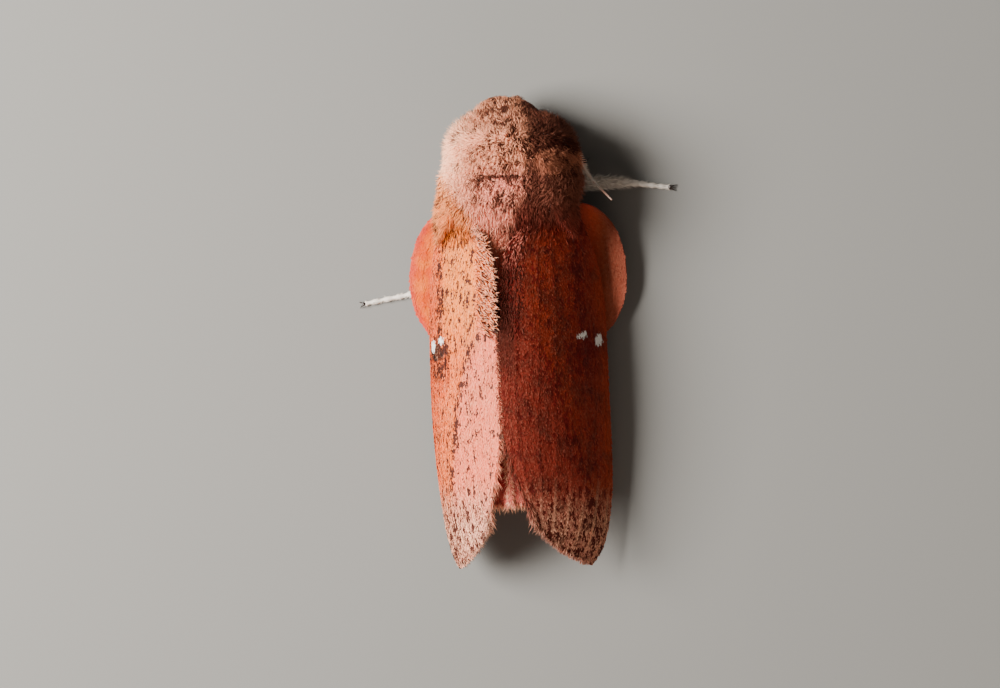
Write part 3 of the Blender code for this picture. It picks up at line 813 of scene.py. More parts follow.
class Ground:
    """A surface that tufts grow on, whose places are counted by two shares."""

    def point(self, share: Array, other: Array, rise: Array | float = 0.0) -> Array:
        """Points of the surface, raised a little."""
        raise NotImplementedError

    def frame(self, share: Array, other: Array) -> tuple[Array, Array, Array]:
        """The directions along, sideways and out at places on the surface."""
        raise NotImplementedError

    def marks(self, share: Array, other: Array) -> Array:
        """Where places lie for the markings."""
        raise NotImplementedError

    def flat(self, share: Array, other: Array) -> Array:
        """Where places fall in the bake's map, from 0 to 1 each way."""
        return np.column_stack([other, share])

    def roots(self, share: Array, other: Array, lie: object, chance: np.random.Generator) -> Roots:
        """Roots whose tufts lie flat, one unit long and wide.

        Args:
            share: Shares of the length.
            other: The places' second share or turn.
            lie: How far the tufts point along and sideways: one pair, or a row for each root.
            chance: The source of random numbers.

        Returns:
            The roots.
        """
        along, sideways, out = self.frame(share, other)
        count = len(share)
        ahead, aside = np.broadcast_to(lie, (count, 2)).T[..., None]
        bake = self.flat(share, other) * (1 - 4 * BAKE_PATCH) + BAKE_PATCH
        lie = unit(along * ahead + sideways * aside)
        return Roots(
            self.point(share, other), lie, out, self.marks(share, other), bake,
            np.ones(count), np.ones(count), np.zeros(count), chance.random(count),
        )


@dataclass
class Limb(Ground):
    """A round or flattened limb through stations (across, aft, height, half width, half height)."""

    middle: Middle
    stations: Points
    upward: tuple[float, float, float] = (0.0, 0.0, 1.0)
    level: bool = False
    line: Curve = field(init=False)

    def __post_init__(self) -> None:
        """Makes the curve through the stations."""
        table = np.array(self.stations, float)
        runs = np.concatenate([[0.0], np.cumsum(np.linalg.norm(np.diff(table[:, :3], axis=0), axis=1))])
        self.line = Curve(np.column_stack([runs / runs[-1], table]))

    def centre(self, share: Array) -> Array:
        """Points of the middle line at shares of its length."""
        across, aft, height = np.moveaxis(self.line(share)[..., :3], -1, 0)
        return self.middle.world(across, aft, height)

    def axes(self, share: Array) -> tuple[Array, Array, Array]:
        """The heading, sideways and upward directions at shares of the length.

        Args:
            share: The shares.

        Returns:
            The three directions.
        """
        heading = unit(self.centre(np.minimum(share + NEAR, 1)) - self.centre(np.maximum(share - NEAR, 0)))
        if self.level:
            heading = np.broadcast_to(np.array([0.0, -1.0, 0.0]), heading.shape)
        sideways = unit(np.cross(np.broadcast_to(np.array(self.upward, float), heading.shape), heading))
        return heading, sideways, unit(np.cross(heading, sideways))

    def point(self, share: Array, turn: Array, rise: Array | float = 0.0) -> Array:
        """Points of the surface at shares of the length and turns from its top, raised a little.

        Args:
            share: The shares.
            turn: The turns.
            rise: How far the points stand out.

        Returns:
            The points.
        """
        share, turn = np.broadcast_arrays(share, turn)
        _, sideways, upwards = self.axes(share)
        sizes = self.line(share)[..., 3:] + np.asarray(rise)[..., None]
        offset = sideways * (sizes[..., 0] * np.sin(turn))[..., None]
        offset = offset + upwards * (sizes[..., 1] * np.cos(turn))[..., None]
        return self.centre(share) + offset

    def frame(self, share: Array, turn: Array) -> tuple[Array, Array, Array]:
        """The direction towards the end, the direction round, and the way out, at places on the surface.

        Args:
            share: Shares of the length.
            turn: Turns from the top.

        Returns:
            The three directions.
        """
        ahead, before = np.minimum(share + NEAR, 1), np.maximum(share - NEAR, 0)
        along = unit(self.point(ahead, turn) - self.point(before, turn))
        around = unit(self.point(share, turn + 2 * NEAR) - self.point(share, turn - 2 * NEAR))
        out = unit(np.cross(around, along))
        inward = np.einsum("...i,...i->...", out, self.point(share, turn) - self.centre(share)) < 0
        return along, around, np.where(inward[..., None], -out, out)

    def skin(
        self, name: str, look: Look, *replaced: str, rings: int, sides: int, relief: Array | float = 0.0
    ) -> bpy.types.Object:
        """The surface as a closed mesh with its places for the markings.

        Args:
            name: The piece's name.
            look: Its finish.
            replaced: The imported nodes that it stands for.
            rings: How many rings it has.
            sides: How many points each ring has.
            relief: How far each ring stands out.

        Returns:
            The piece.
        """
        share = np.linspace(0, 1, rings)[:, None]
        turn = (np.arange(sides) * 2 * math.pi / sides)[None]
        points = self.point(share, turn, np.broadcast_to(np.asarray(relief)[..., None], (rings, sides)))
        points[..., 2] = np.maximum(points[..., 2], 0.0)
        piece = make_object(name, points, tube_faces(rings, sides), look)
        give(piece.data, "place", self.middle.places(points.reshape(-1, 3)))
        give(piece.data, "shade", np.full(rings * sides, 0.5))
        give(piece.data, "patch", np.zeros((rings * sides, 3)))
        return dressed(outward(piece), look, *replaced)

    def scatter(
        self, count: int, weight: Weight, chance: np.random.Generator, rings: int = 90, sides: int = 48
    ) -> tuple[Array, Array]:
        """Places spread over the surface by area and a weight.

        Args:
            count: How many places.
            weight: A function of shares and turns that gives the weight there.
            chance: The source of random numbers.
            rings: How finely the length is counted.
            sides: How finely the turn is counted.

        Returns:
            The shares and the turns.
        """
        share = np.linspace(0, 1, rings)[:, None]
        turn = np.linspace(-math.pi, math.pi, sides)[None]
        weights = weight(*np.broadcast_arrays(share, turn))
        row, column = scattered(self.point(share, turn), weights, count, chance)
        return row, (column * 2 - 1) * math.pi

    def marks(self, share: Array, turn: Array) -> Array:
        """Where places lie for the markings: (aft, across, height)."""
        return self.middle.places(self.point(share, turn))

    def flat(self, share: Array, turn: Array) -> Array:
        """Where places fall in the bake's map, the turns from 0 to 1."""
        return super().flat(share, turn / (2 * math.pi) + 0.5)


def scattered(points: Array, weight: Array, count: int, chance: np.random.Generator) -> tuple[Array, Array]:
    """Shares (down the rows, along the columns) of places spread over a grid by area and weight.

    Args:
        points: The grid's points.
        weight: The weight at each.
        count: How many places.
        chance: The source of random numbers.

    Returns:
        The shares down and along.
    """
    down, along = points[1:, :-1] - points[:-1, :-1], points[:-1, 1:] - points[:-1, :-1]
    area = np.linalg.norm(np.cross(down, along), axis=-1) * weight[:-1, :-1]
    total = np.cumsum(area.ravel())
    picks = (np.arange(count) + chance.random(count)) / count * total[-1]
    row, column = np.divmod(np.minimum(np.searchsorted(total, picks), area.size - 1), area.shape[1])
    rows = (row + chance.random(count)) / area.shape[0]
    return rows, (column + chance.random(count)) / area.shape[1]


@dataclass
class Wing(Ground):
    """A wing between its front edge, back edge and outer edge, each as (aft, other) points."""

    middle: Middle
    side: Side
    name: str = "wing"
    costa: Points = ()
    dorsum: Points = ()
    termen: Points = ()
    veins: tuple[float, ...] = ()
    cell_veins: tuple[int, ...] = ()
    cell_end: float = 0.0
    vein_height: float = 0.07
    vein_width: float = 0.012
    thickness: float = 0.12
    rows: int = 150
    columns: int = 54
    coarse: tuple[int, int] = (90, 40)
    scale_count: int = 26000
    scale_lift: float = 0.16
    scale_stray: float = 0.12
    scale: Coat = Coat(
        Shapes.FLAKE, 0.24, 0.1,
        length_spread=0.3, lift_spread=0.08, turn_spread=0.22, roll_spread=0.15, seed=11,
    )
    fringe_count: int = 900
    fringe_at: float = 0.985
    rim_at: float = 0.995
    strand: Coat = Coat(
        Shapes.STRAIGHT, 0.7, 0.05,
        length_spread=0.5, lift_spread=0.15, turn_spread=0.5, roll_spread=0.6, seed=12,
    )

    def __post_init__(self) -> None:
        """Makes the curves of the three edges."""
        self.front, self.back = along_outline(self.costa), along_outline(self.dorsum)
        self.outer = along_outline(self.termen)

    @property
    def tag(self) -> str:
        """The wing's name with its side."""
        return f"{self.name}_{self.side.word}"

    def surface(self, aft: Array, other: Array, rise: Array) -> Array:
        """Points of the wing's surface. Each kind of wing has its own."""
        raise NotImplementedError

    def scaled(self, share: Array, across: Array) -> Array:
        """How thickly scales cover the wing, here all of it alike."""
        return np.ones_like(share)

    def hair(self, chance: np.random.Generator) -> dict[str, Roots]:
        """The roots of the wing's hair, by name. Each kind of wing has its own."""
        raise NotImplementedError

    def dress(self, seed: int) -> None:
        """Makes the wing's sheet, its overlapping scales and its hair.

        Args:
            seed: What its random numbers start from.
        """
        chance = np.random.default_rng(seed)
        sheet, scale, hair = (Look[self.name.upper() + end] for end in ("", "_SCALE", "_HAIR"))
        self.membrane(sheet)
        share, across = self.scatter(self.scale_count, self.scaled, chance)
        lie = np.column_stack([np.ones(len(share)), chance.normal(0, self.scale_stray, len(share))])
        roots = self.roots(share, across, lie, chance)
        roots.lift += self.scale_lift
        self.scale.grow(f"scales_{self.tag}", roots, scale)
        for label, roots in self.hair(chance).items():
            self.strand.grow(f"hair_{label}_{self.tag}", roots, hair)

    def spread(self, share: Array, across: Array) -> Array:
        """Places (aft, other) at shares from root to tip and from the front edge to the back edge.

        Args:
            share: Shares from root to tip.
            across: Shares from front to back.

        Returns:
            The places.
        """
        share, across = np.broadcast_arrays(share, across)
        across = across[..., None]
        straight = self.front(share) * (1 - across) + self.back(share) * across
        corners = np.array(self.costa[-1]), np.array(self.dorsum[-1])
        chord = corners[0] + (corners[1] - corners[0]) * across
        return straight + (self.outer(1 - across[..., 0]) - chord) * share[..., None] ** 3

    def relief(self, share: Array, across: Array) -> Array:
        """How far veins and the folds between them stand out.

        Args:
            share: Shares from root to tip.
            across: Shares from front to back.

        Returns:
            The heights.
        """
        share, across = np.broadcast_arrays(share, across)
        folds = 0.012 * np.sin(across * 41 + share * 5) * np.sin(share * 17)
        return folds + self.vein_height * self.on_vein(share, across)

    def on_vein(self, share: Array, across: Array) -> Array:
        """1 on a vein's crest, falling to 0 beside it and at the wing's root and outer edge.

        Args:
            share: Shares from root to tip.
            across: Shares from front to back.

        Returns:
            The strength of the veins.
        """
        total = np.zeros(np.broadcast(share, across).shape)
        for number, vein in enumerate(self.veins):
            start = self.cell_end if number in self.cell_veins else 0.03
            strength = ease(share, start, start + 0.06) * ease(share, 1.0, 0.93)
            total = total + strength * np.exp(-(((across - vein) / self.vein_width) ** 2))
        return total

    def point(self, share: Array, across: Array, rise: Array | float = 0.0) -> Array:
        """Points on the wing, with its relief."""
        places = self.spread(share, across)
        return self.surface(places[..., 0], places[..., 1], self.relief(share, across) + rise)

    def frame(self, share: Array, across: Array) -> tuple[Array, Array, Array]:
        """The direction towards the tip, towards the back edge, and up from the wing.

        Args:
            share: Shares from root to tip.
            across: Shares from front to back.

        Returns:
            The three directions.
        """
        base = self.smooth_point(share, across)
        step, turn = np.where(share > 0.5, -NEAR, NEAR), np.where(across > 0.5, -NEAR, NEAR)
        outwards = unit((self.smooth_point(share + step, across) - base) * np.sign(step)[..., None])
        back = unit((self.smooth_point(share, across + turn) - base) * np.sign(turn)[..., None])
        up = unit(np.cross(outwards, back))
        return outwards, back, np.where(up[..., 2:] < 0, -up, up)

    def smooth_point(self, share: Array, across: Array) -> Array:
        """Points on the wing without its relief."""
        places = self.spread(share, across)
        return self.surface(places[..., 0], places[..., 1], np.zeros(places.shape[:-1]))

    def marks(self, share: Array, across: Array) -> Array:
        """Where places lie for the markings: (aft, other, share from front to back)."""
        return np.column_stack([self.spread(share, across).reshape(-1, 2), across.ravel()])

    @staticmethod
    def grid(rows: int, columns: int) -> list[Array]:
        """Shares from root to tip and from front to back, evenly over the wing."""
        return np.meshgrid(np.linspace(0, 1, rows), np.linspace(0, 1, columns), indexing="ij")

    def membrane(self, look: Look) -> bpy.types.Object:
        """The wing's own thin sheet, with veins raised in its upper face.

        Args:
            look: Its finish.

        Returns:
            The piece.
        """
        share, across = self.grid(self.rows, self.columns)
        top = self.point(share, across)
        aft, other = np.moveaxis(self.spread(share, across), -1, 0)
        low = self.surface(aft, other, np.full(share.shape, -self.thickness))
        points = np.concatenate([top.reshape(-1, 3), low.reshape(-1, 3)])
        count = self.rows * self.columns
        grid = np.arange(count).reshape(self.rows, self.columns)
        corners = grid[:-1, :-1], grid[1:, :-1], grid[1:, 1:], grid[:-1, 1:]
        upper = np.column_stack([corner.ravel() for corner in corners])
        faces = upper.tolist() + (upper[:, ::-1] + count).tolist()
        rim = np.concatenate([grid[:, 0], grid[-1, 1:], grid[-2::-1, -1], grid[0, -2:0:-1]])
        after = np.roll(rim, -1)
        faces += np.column_stack([after, rim, rim + count, after + count]).tolist()
        piece = make_object(self.tag, points, faces, look)
        give(piece.data, "place", np.tile(self.marks(share, across), (2, 1)))
        return dressed(outward(piece), look, self.tag)

    def scatter(self, count: int, weight: Weight, chance: np.random.Generator) -> tuple[Array, Array]:
        """Places spread over the wing by area and a weight, as shares (root to tip, front to back)."""
        share, across = self.grid(*self.coarse)
        return scattered(self.smooth_point(share, across), weight(share, across), count, chance)

    def rim_roots(self, share: Array, across: Array, lie: object, chance: np.random.Generator) -> Roots:
        """Roots along an edge of the wing, half way down its thickness.

        Args:
            share: Shares from root to tip.
            across: Shares from front to back.
            lie: The parts of the lie towards the tip and the back.
            chance: The source of random numbers.

        Returns:
            The roots.
        """
        found = self.roots(share, across, lie, chance)
        found.points = found.points - found.out * self.thickness * chance.random((len(share), 1))
        return found


RIDGE = Curve(((6.0, 7.6), (10.0, 7.9), (12.5, 8.1), (17.0, 8.4), (23.0, 8.4), (28.7, 7.3), (34.0, 5.8)))


@dataclass
class Roof:
    """The arc across that both forewings lie on, from the ridge down to the leading edge."""

    radius: float = 10.0
    top_slope: float = math.radians(18.0)
    steepest: float = 0.985

    def across(self, down: Array, rise: Array) -> tuple[Array, Array]:
        """How far out and how far below the ridge a place is, a distance down the roof and raised from it.

        Args:
            down: The distance down.
            rise: How far the place is raised.

        Returns:
            The distances out and below.
        """
        slope = self.top_slope + down / self.radius
        out = self.radius * (np.sin(slope) - math.sin(self.top_slope)) + rise * np.sin(slope)
        return out, self.radius * (math.cos(self.top_slope) - np.cos(slope)) - rise * np.cos(slope)

    def height(self, aft: Array, out: Array) -> Array:
        """The roof's height at a distance out from the middle, carried on steeply past its edge.

        Args:
            aft: The distance aft.
            out: The distance out.

        Returns:
            The height.
        """
        sine = out / self.radius + math.sin(self.top_slope)
        kept = np.minimum(sine, self.steepest)
        steep = self.steepest / math.sqrt(1 - self.steepest**2)
        drop = self.radius * (math.cos(self.top_slope) - np.sqrt(1 - kept**2))
        return RIDGE(aft) - drop - (sine - kept) * self.radius * steep


ROOF = Roof()
# Added to a wing place's third part on the right wings, so that their markings can paint that side in shade.
RIGHT_MARK = 10.0


@dataclass(frozen=True)
class Comb:
    """How the long hair beside the ridge and the hair of the wing's base lie on one side."""

    lie: tuple[float, float]
    lift: float
    length: float
    marks_down: float
    base_lift: float
    base_length: float


# The right comb's colours are read just under the ridge, in the strip painted as shade there. The left comb's
# colours are read further down, clear of the painted shade under it.
COMBS = {
    Side.LEFT: Comb((0.45, 0.9), 1.0, 1.35, 1.75, 0.16, 1.1),
    Side.RIGHT: Comb((1.0, 0.1), 0.2, 0.6, 0.5, 0.1, 0.8),
}


@dataclass
class Forewing(Wing):
    """A forewing on the roof: its sheet, scales, fringe and the comb of hair on its inner edge."""

    name: str = "forewing"
    costa: Points = (
        (6.7, 4.7), (8.2, 5.9), (9.9, 7.0), (12.5, 8.5), (15.0, 9.25), (18.0, 9.5), (21.5, 9.6),
        (25.0, 9.45), (28.0, 9.05), (30.35, 8.3), (32.2, 7.3), (33.5, 6.0),
    )
    dorsum: Points = (
        (7.7, 3.5), (8.7, 2.6), (9.7, 1.6), (10.9, 0.75), (12.0, 0.44), (13.2, 0.34), (15.0, 0.26),
        (17.0, 0.14), (20.0, 0.05), (23.5, 0.1), (26.6, 0.75), (28.75, 1.42),
    )
    termen: Points = ((28.75, 1.42), (30.55, 2.05), (32.0, 3.25), (32.9, 4.6), (33.5, 6.0))
    vein_height: float = 0.035
    veins: tuple[float, ...] = (0.05, 0.17, 0.30, 0.43, 0.56, 0.70, 0.88)
    cell_veins: tuple[int, ...] = (2, 3)
    cell_end: float = 0.42
    comb_count: int = 620
    base_count: int = 1100
    strand_width: float = 2.6
    marks_shift: float = 0.6

    def marks(self, share: Array, across: Array) -> Array:
        """Where places lie for the markings: (aft, down from the ridge, 1 on a vein, 10 more on the right).

        Args:
            share: Shares from root to tip.
            across: Shares from front to back.

        Returns:
            The places.
        """
        places = self.spread(share, across).reshape(-1, 2)
        on_right = self.side is Side.RIGHT
        down = places[:, 1] - self.marks_shift * on_right * ease(places[:, 0], 14.0, 17.0)
        veins = self.on_vein(share, across).ravel()
        return np.column_stack([places[:, 0], down, veins + RIGHT_MARK * on_right])

    def surface(self, aft: Array, other: Array, rise: Array) -> Array:
        """Points on the roof, a distance down from its ridge."""
        out, drop = ROOF.across(other, rise)
        return self.middle.world(self.side.sign * out, aft, RIDGE(aft) - drop)

    def hair(self, chance: np.random.Generator) -> dict[str, Roots]:
        """The roots of the fringe, the rim of the inner edge, the comb and the hair on the wing's base.

        Args:
            chance: The source of random numbers.

        Returns:
            The roots, by name.
        """
        return {
            "fringe": self.fringe(chance), "rim": self.rim(chance),
            "comb": self.comb(chance), "base": self.base(chance),
        }

    def fringe(self, chance: np.random.Generator) -> Roots:
        """Roots along the outer edge, of longer hair towards its rear corner.

        Args:
            chance: The source of random numbers.

        Returns:
            The roots.
        """
        place = chance.random(self.fringe_count)
        roots = self.rim_roots(np.full(len(place), self.fringe_at), place, (1.0, 0.35), chance)
        roots.length = 0.7 + 0.8 * ease(place, 0.6, 0.85) * chance.random(len(place))
        roots.lift = chance.normal(0, 0.25, len(place))
        return roots

    def rim(self, chance: np.random.Generator) -> Roots:
        """Roots along the rear part of the inner edge.

        Args:
            chance: The source of random numbers.

        Returns:
            The roots.
        """
        place = 0.42 + 0.58 * chance.random(self.fringe_count)
        roots = self.rim_roots(place, np.full(len(place), self.rim_at), (1.0, 0.55), chance)
        roots.length = 0.45 + 0.8 * ease(place, 0.72, 0.85) * chance.random(len(place)) ** 2
        return roots

    def comb(self, chance: np.random.Generator) -> Roots:
        """Roots of the long hair beside the ridge.

        Args:
            chance: The source of random numbers.

        Returns:
            The roots.
        """
        share, across = self.scatter(
            self.comb_count, lambda s, a: ease(a, 0.79, 0.86) * ease(s, 0.46, 0.36) * ease(s, 0.02, 0.08),
            chance,
        )
        combed = COMBS[self.side]
        roots = self.roots(share, across, combed.lie, chance)
        roots.lift = (0.3 + 0.3 * ease(across, 0.9, 1.0)) * combed.lift
        roots.length *= combed.length
        roots.width *= self.strand_width
        roots.place[:, 1] = combed.marks_down
        return roots

    def base(self, chance: np.random.Generator) -> Roots:
        """Roots of the hair on the wing's base.

        Args:
            chance: The source of random numbers.

        Returns:
            The roots.
        """
        share, across = self.scatter(self.base_count, lambda s, a: ease(s, 0.16, 0.04), chance)
        roots = self.roots(share, across, (1.0, 0.1), chance)
        roots.lift += COMBS[self.side].base_lift
        roots.length *= COMBS[self.side].base_length
        return roots


@dataclass
class Hindwing(Wing):
    """A hindwing: tucked under the roof, and bent out flat into the lobe beside the forewing."""

    name: str = "hindwing"
    costa: Points = (
        (8.2, 3.4), (7.9, 4.5), (8.2, 5.7), (9.2, 6.85), (10.8, 7.6), (12.9, 7.92), (14.9, 7.65),
        (16.4, 6.9), (17.5, 5.9), (19.0, 5.3), (22.0, 5.0), (25.0, 4.5),
    )
    dorsum: Points = (
        (9.3, 2.4), (10.6, 1.5), (12.4, 0.8), (16.0, 0.3), (20.0, 0.1), (24.0, 0.03), (28.6, 0.03),
    )
    termen: Points = ((28.6, 0.03), (28.4, 1.9), (27.4, 3.4), (25.0, 4.5))
    veins: tuple[float, ...] = (0.12, 0.30, 0.46, 0.62, 0.80)
    vein_height: float = 0.03
    tuck: float = 0.78
    bend: float = 0.25
    scale_count: int = 9500
    scale_lift: float = 0.12
    scale_stray: float = 0.08
    scale: Coat = Coat(
        Shapes.FLAKE, 0.26, 0.13,
        length_spread=0.2, lift_spread=0.05, turn_spread=0.15, roll_spread=0.1, seed=21,
    )
    fringe_count: int = 1200
    fringe_at: float = 0.995
    rim_at: float = 0.99
    strand: Coat = Coat(
        Shapes.STRAIGHT, 0.6, 0.06,
        length_spread=0.4, lift_spread=0.2, turn_spread=0.7, roll_spread=0.6, seed=22,
    )
    lobe: Curve = field(default_factory=lambda: Curve((
        (7.0, 3.5), (8.5, 2.65), (10.0, 2.05), (12.0, 1.7), (14.0, 1.5), (16.0, 1.2), (18.0, 1.1),
        (29.0, 1.1),
    )))

    def marks(self, share: Array, across: Array) -> Array:
        """Where places lie for the markings: (aft, out, share from the front and 10 more on the right)."""
        return super().marks(share, across) + (0.0, 0.0, RIGHT_MARK * (self.side is Side.RIGHT))

    def level(self, aft: Array, other: Array) -> Array:
        """Points on the wing's middle sheet, at distances out from the moth's middle.

        Args:
            aft: Distances aft.
            other: Distances out.

        Returns:
            The points.
        """
        lobe = self.lobe(aft)
        over = (ROOF.height(aft, other + self.tuck) - self.tuck - lobe) / self.bend
        rise = self.bend * np.logaddexp(0.0, over)
        return self.middle.world(self.side.sign * other, aft, lobe + rise)

    def surface(self, aft: Array, other: Array, rise: Array) -> Array:
        """Points on the wing, raised along its normal.

        Args:
            aft: Distances aft.
            other: Distances out.
            rise: How far they are raised.

        Returns:
            The points.
        """
        base = self.level(aft, other)
        normal = unit(np.cross(self.level(aft, other + 0.05) - base, self.level(aft + 0.05, other) - base))
        normal = np.where(normal[..., 2:] < 0, -normal, normal)
        return base + normal * np.asarray(rise)[..., None]

    def scaled(self, share: Array, across: Array) -> Array:
        """How thickly scales cover the wing, most of them where it shows."""
        return 0.15 + ease(across, 0.55, 0.30) + ease(share, 0.7, 0.8)

    def hair(self, chance: np.random.Generator) -> dict[str, Roots]:
        """The roots of the fringe and of the rear part of the inner edge.

        Args:
            chance: The source of random numbers.

        Returns:
            The roots, by name.
        """
        count = self.fringe_count
        fringe = self.rim_roots(np.full(count, self.fringe_at), chance.random(count), (1.0, 0.1), chance)
        fringe.length = 0.7 + chance.random(count)
        place = 0.45 + 0.55 * chance.random(count)
        edge = self.rim_roots(place, np.full(count, self.rim_at), (1.0, 0.3), chance)
        return {"fringe": fringe, "edge": edge}


EYE_PLACE = (2.25, 1.80, 3.25)
EYE_RADIUS = 0.74


@dataclass
class Trunk:
    """Head, chest and hind body under one skin, with the coat that grows on it."""

    middle: Middle
    coat_depth: float = 0.1
    cushion: float = 0.22
    crown: float = 5.0
    crest: float = 1.0
    segment: float = 2.14
    segment_height: float = 0.09
    waist: float = 10.5
    rings: int = 240
    sides: int = 96
    fine: tuple[int, int] = (400, 64)
    seed: int = 5
    curled: Coat = Coat(Shapes.CURLED, 0.82, 0.05, 0.35, 0.3, turn_spread=0.9, roll_spread=0.8, seed=31)
    combed: Coat = Coat(Shapes.HAIR, 0.82, 0.05, 0.35, 0.3, turn_spread=0.4, roll_spread=0.8, seed=31)
    sections: Points = (
        (0.3, 0.2, 0.18, 3.4), (0.45, 1.05, 0.9, 3.45), (0.8, 1.8, 1.5, 3.55), (1.5, 2.45, 2.0, 3.75),
        (2.4, 2.95, 2.45, 4.1), (3.6, 3.65, 3.15, 4.7), (4.2, 3.8, 3.3, 4.8), (6.0, 4.0, 3.55, 5.0),
        (8.0, 3.75, 3.25, 4.9), (9.9, 3.0, 2.5, 4.35), (10.5, 2.85, 2.45, 4.25), (14.0, 2.8, 2.4, 4.1),
        (18.0, 2.6, 2.25, 3.95), (21.5, 2.2, 1.95, 3.75), (24.2, 1.45, 1.35, 3.55), (25.5, 0.5, 0.5, 3.45),
        (25.7, 0.15, 0.15, 3.45),
    )

    def __post_init__(self) -> None:
        """Makes the skin's surface."""
        rows = []
        for aft, width, height, centre in self.sections:
            thin = min(self.coat_depth, 0.1 * width)
            under = self.cushion * float(ease(aft, 1.2, 2.6) * ease(aft, 9.0, 7.0)) - thin
            rows.append((0.0, aft, centre, width + under, height + 0.5 * under))
        self.limb = Limb(self.middle, rows, level=True)

    def dress(self) -> None:
        """Makes the skin and grows its coat, in pieces from front to back."""
        aft = self.limb.line(np.linspace(0, 1, self.rings))[:, 1]
        swell = self.segment_height * np.abs(np.sin((aft - self.waist) / self.segment * math.pi))
        swell *= ease(aft, 10.4, 11.5) * ease(aft, 25.5, 24.0)
        self.limb.skin(
            "skin", Look.SKIN, "head", "collar", "thorax", "abdomen",
            rings=self.rings, sides=self.sides, relief=swell,
        )
        chance = np.random.default_rng(self.seed)
        spans = (
            ("front", 0.2, 2.9, 18500, self.curled), ("crown", 2.9, 5.2, 18500, self.curled),
            ("shield", 5.2, 7.4, 17500, self.curled), ("back", 7.4, 10.4, 12000, self.combed),
            ("hind", 10.4, 25.8, 4500, self.combed),
        )
        for label, start, end, count, coat in spans:
            coat.grow(f"coat_{label}", self.hair_roots(start, end, count, chance), Look.COAT)

    def crest_turn(self, aft: Array) -> Array:
        """The turn from the top at which the coat parts, which leans to the right on the chest."""
        return self.crest * ease(aft, 9.5, 6.0) / 3.6

    def hair_roots(self, start: float, end: float, count: int, chance: np.random.Generator) -> Roots:
        """Roots on one length of the trunk.

        Args:
            start: Where it starts, aft.
            end: Where it ends.
            count: How many roots.
            chance: The source of random numbers.

        Returns:
            The roots.
        """
        def weight(share: Array, turn: Array) -> Array:
            """More hair above than below, and only on this length."""
            aft = self.limb.line(share)[..., 1]
            return ((aft >= start) & (aft < end)) * (0.45 + 0.55 * ease(np.abs(turn), 2.5, 1.7))

        share, turn = self.limb.scatter(count, weight, chance, *self.fine)
        aft = self.limb.line(share)[:, 1]
        off = turn - self.crest_turn(aft)
        # forward on the face, parted behind the crown and drawn out across it
        forward = ease(aft, 4.2, 2.6)
        lie = np.column_stack([1 - 2 * forward, 0.45 * np.sin(turn) * forward])
        rear = ease(aft, self.crown, self.crown + 1.5) * ease(aft, 12.0, 10.0)
        lie[:, 1] += -0.4 * np.sin(off * 1.2) * rear * ease(np.abs(off), 2.2, 1.2)
        lie[:, 1] += 0.5 * np.sin(off) * ease(np.abs(aft - 3.4), 0.9, 0.2)
        roots = self.limb.roots(share, turn, lie, chance)
        # raised on the crown, the flanks and the rear end of the chest
        crowned = ease(np.abs(aft - 3.6), 1.6, 0.2)
        flank = ease(np.abs(np.sin(turn)), 0.6, 0.95) * ease(aft, 9.0, 7.0) * ease(aft, 1.0, 3.0)
        ending = ease(aft, 8.0, 9.0) * ease(aft, 10.6, 10.2) * ease(np.abs(turn + 0.15), 0.9, 0.5)
        parting = ease(np.abs(aft - 3.4), 0.8, 0.0) * ease(np.abs(off), 1.2, 0.2)
        roots.lift = 0.5 + 0.35 * crowned + 0.25 * flank + 0.15 * ending - 0.2 * ease(aft, 10.0, 12.0)
        roots.lift += 0.3 * parting
        # shorter on the face, the right side, below, in the groove on the chest and along the middle
        roots.length = 0.95 + 0.35 * flank + 0.3 * ending
        roots.length *= 0.5 + 0.5 * ease(aft, 0.3, 2.4)
        on_right = ease(turn, 0.3, 1.2)
        roots.length *= 1 - on_right * (0.15 + 0.3 * ease(aft, 2.2, 0.9) - 0.3 * ease(aft, 5.0, 6.0))
        roots.length = roots.length - 0.1 * ease(aft, 10.4, 11.0) + 0.6 * ease(aft, 22.0, 24.0)
        roots.length *= 1 - 0.25 * ease(np.abs(turn), 2.1, 2.6)
        grooved = ease(np.abs(aft - 5.95), 0.75, 0.3) * ease(np.abs(off) * 3.6, 2.0, 1.5)
        roots.length *= 1 - 0.5 * grooved
        middling = ease(np.abs(off), 1.1, 0.5) * ease(aft, 9.0, 8.0)
        roots.length *= 1 - 0.25 * middling
        roots.width = 1 + 0.9 * ease(aft, 10.4, 11.5) + 0.5 * middling
        roots.length *= 1 - 0.15 * ease(np.abs(aft - 4.4), 0.9, 0.3) * ease(np.abs(turn + 1.6), 0.8, 0.4)
        return self.clear_of_eyes(roots)

    def clear_of_eyes(self, roots: Roots) -> Roots:
        """Leaves the eyes bare, with the shortest hair round them.

        Args:
            roots: All the roots.

        Returns:
            Those that stay.
        """
        for side in Side:
            centre = self.middle.world(side.sign * EYE_PLACE[0], *EYE_PLACE[1:])
            away = np.linalg.norm(roots.points + roots.lie * 0.15 - centre, axis=1)
            clear = away > EYE_RADIUS * 1.02
            roots, away = roots.kept(clear), away[clear]
            roots.length *= 0.3 + 0.7 * ease(away, EYE_RADIUS, EYE_RADIUS + 1.0)
            roots.lift -= 0.25 * ease(away, EYE_RADIUS + 0.7, EYE_RADIUS)
        return roots


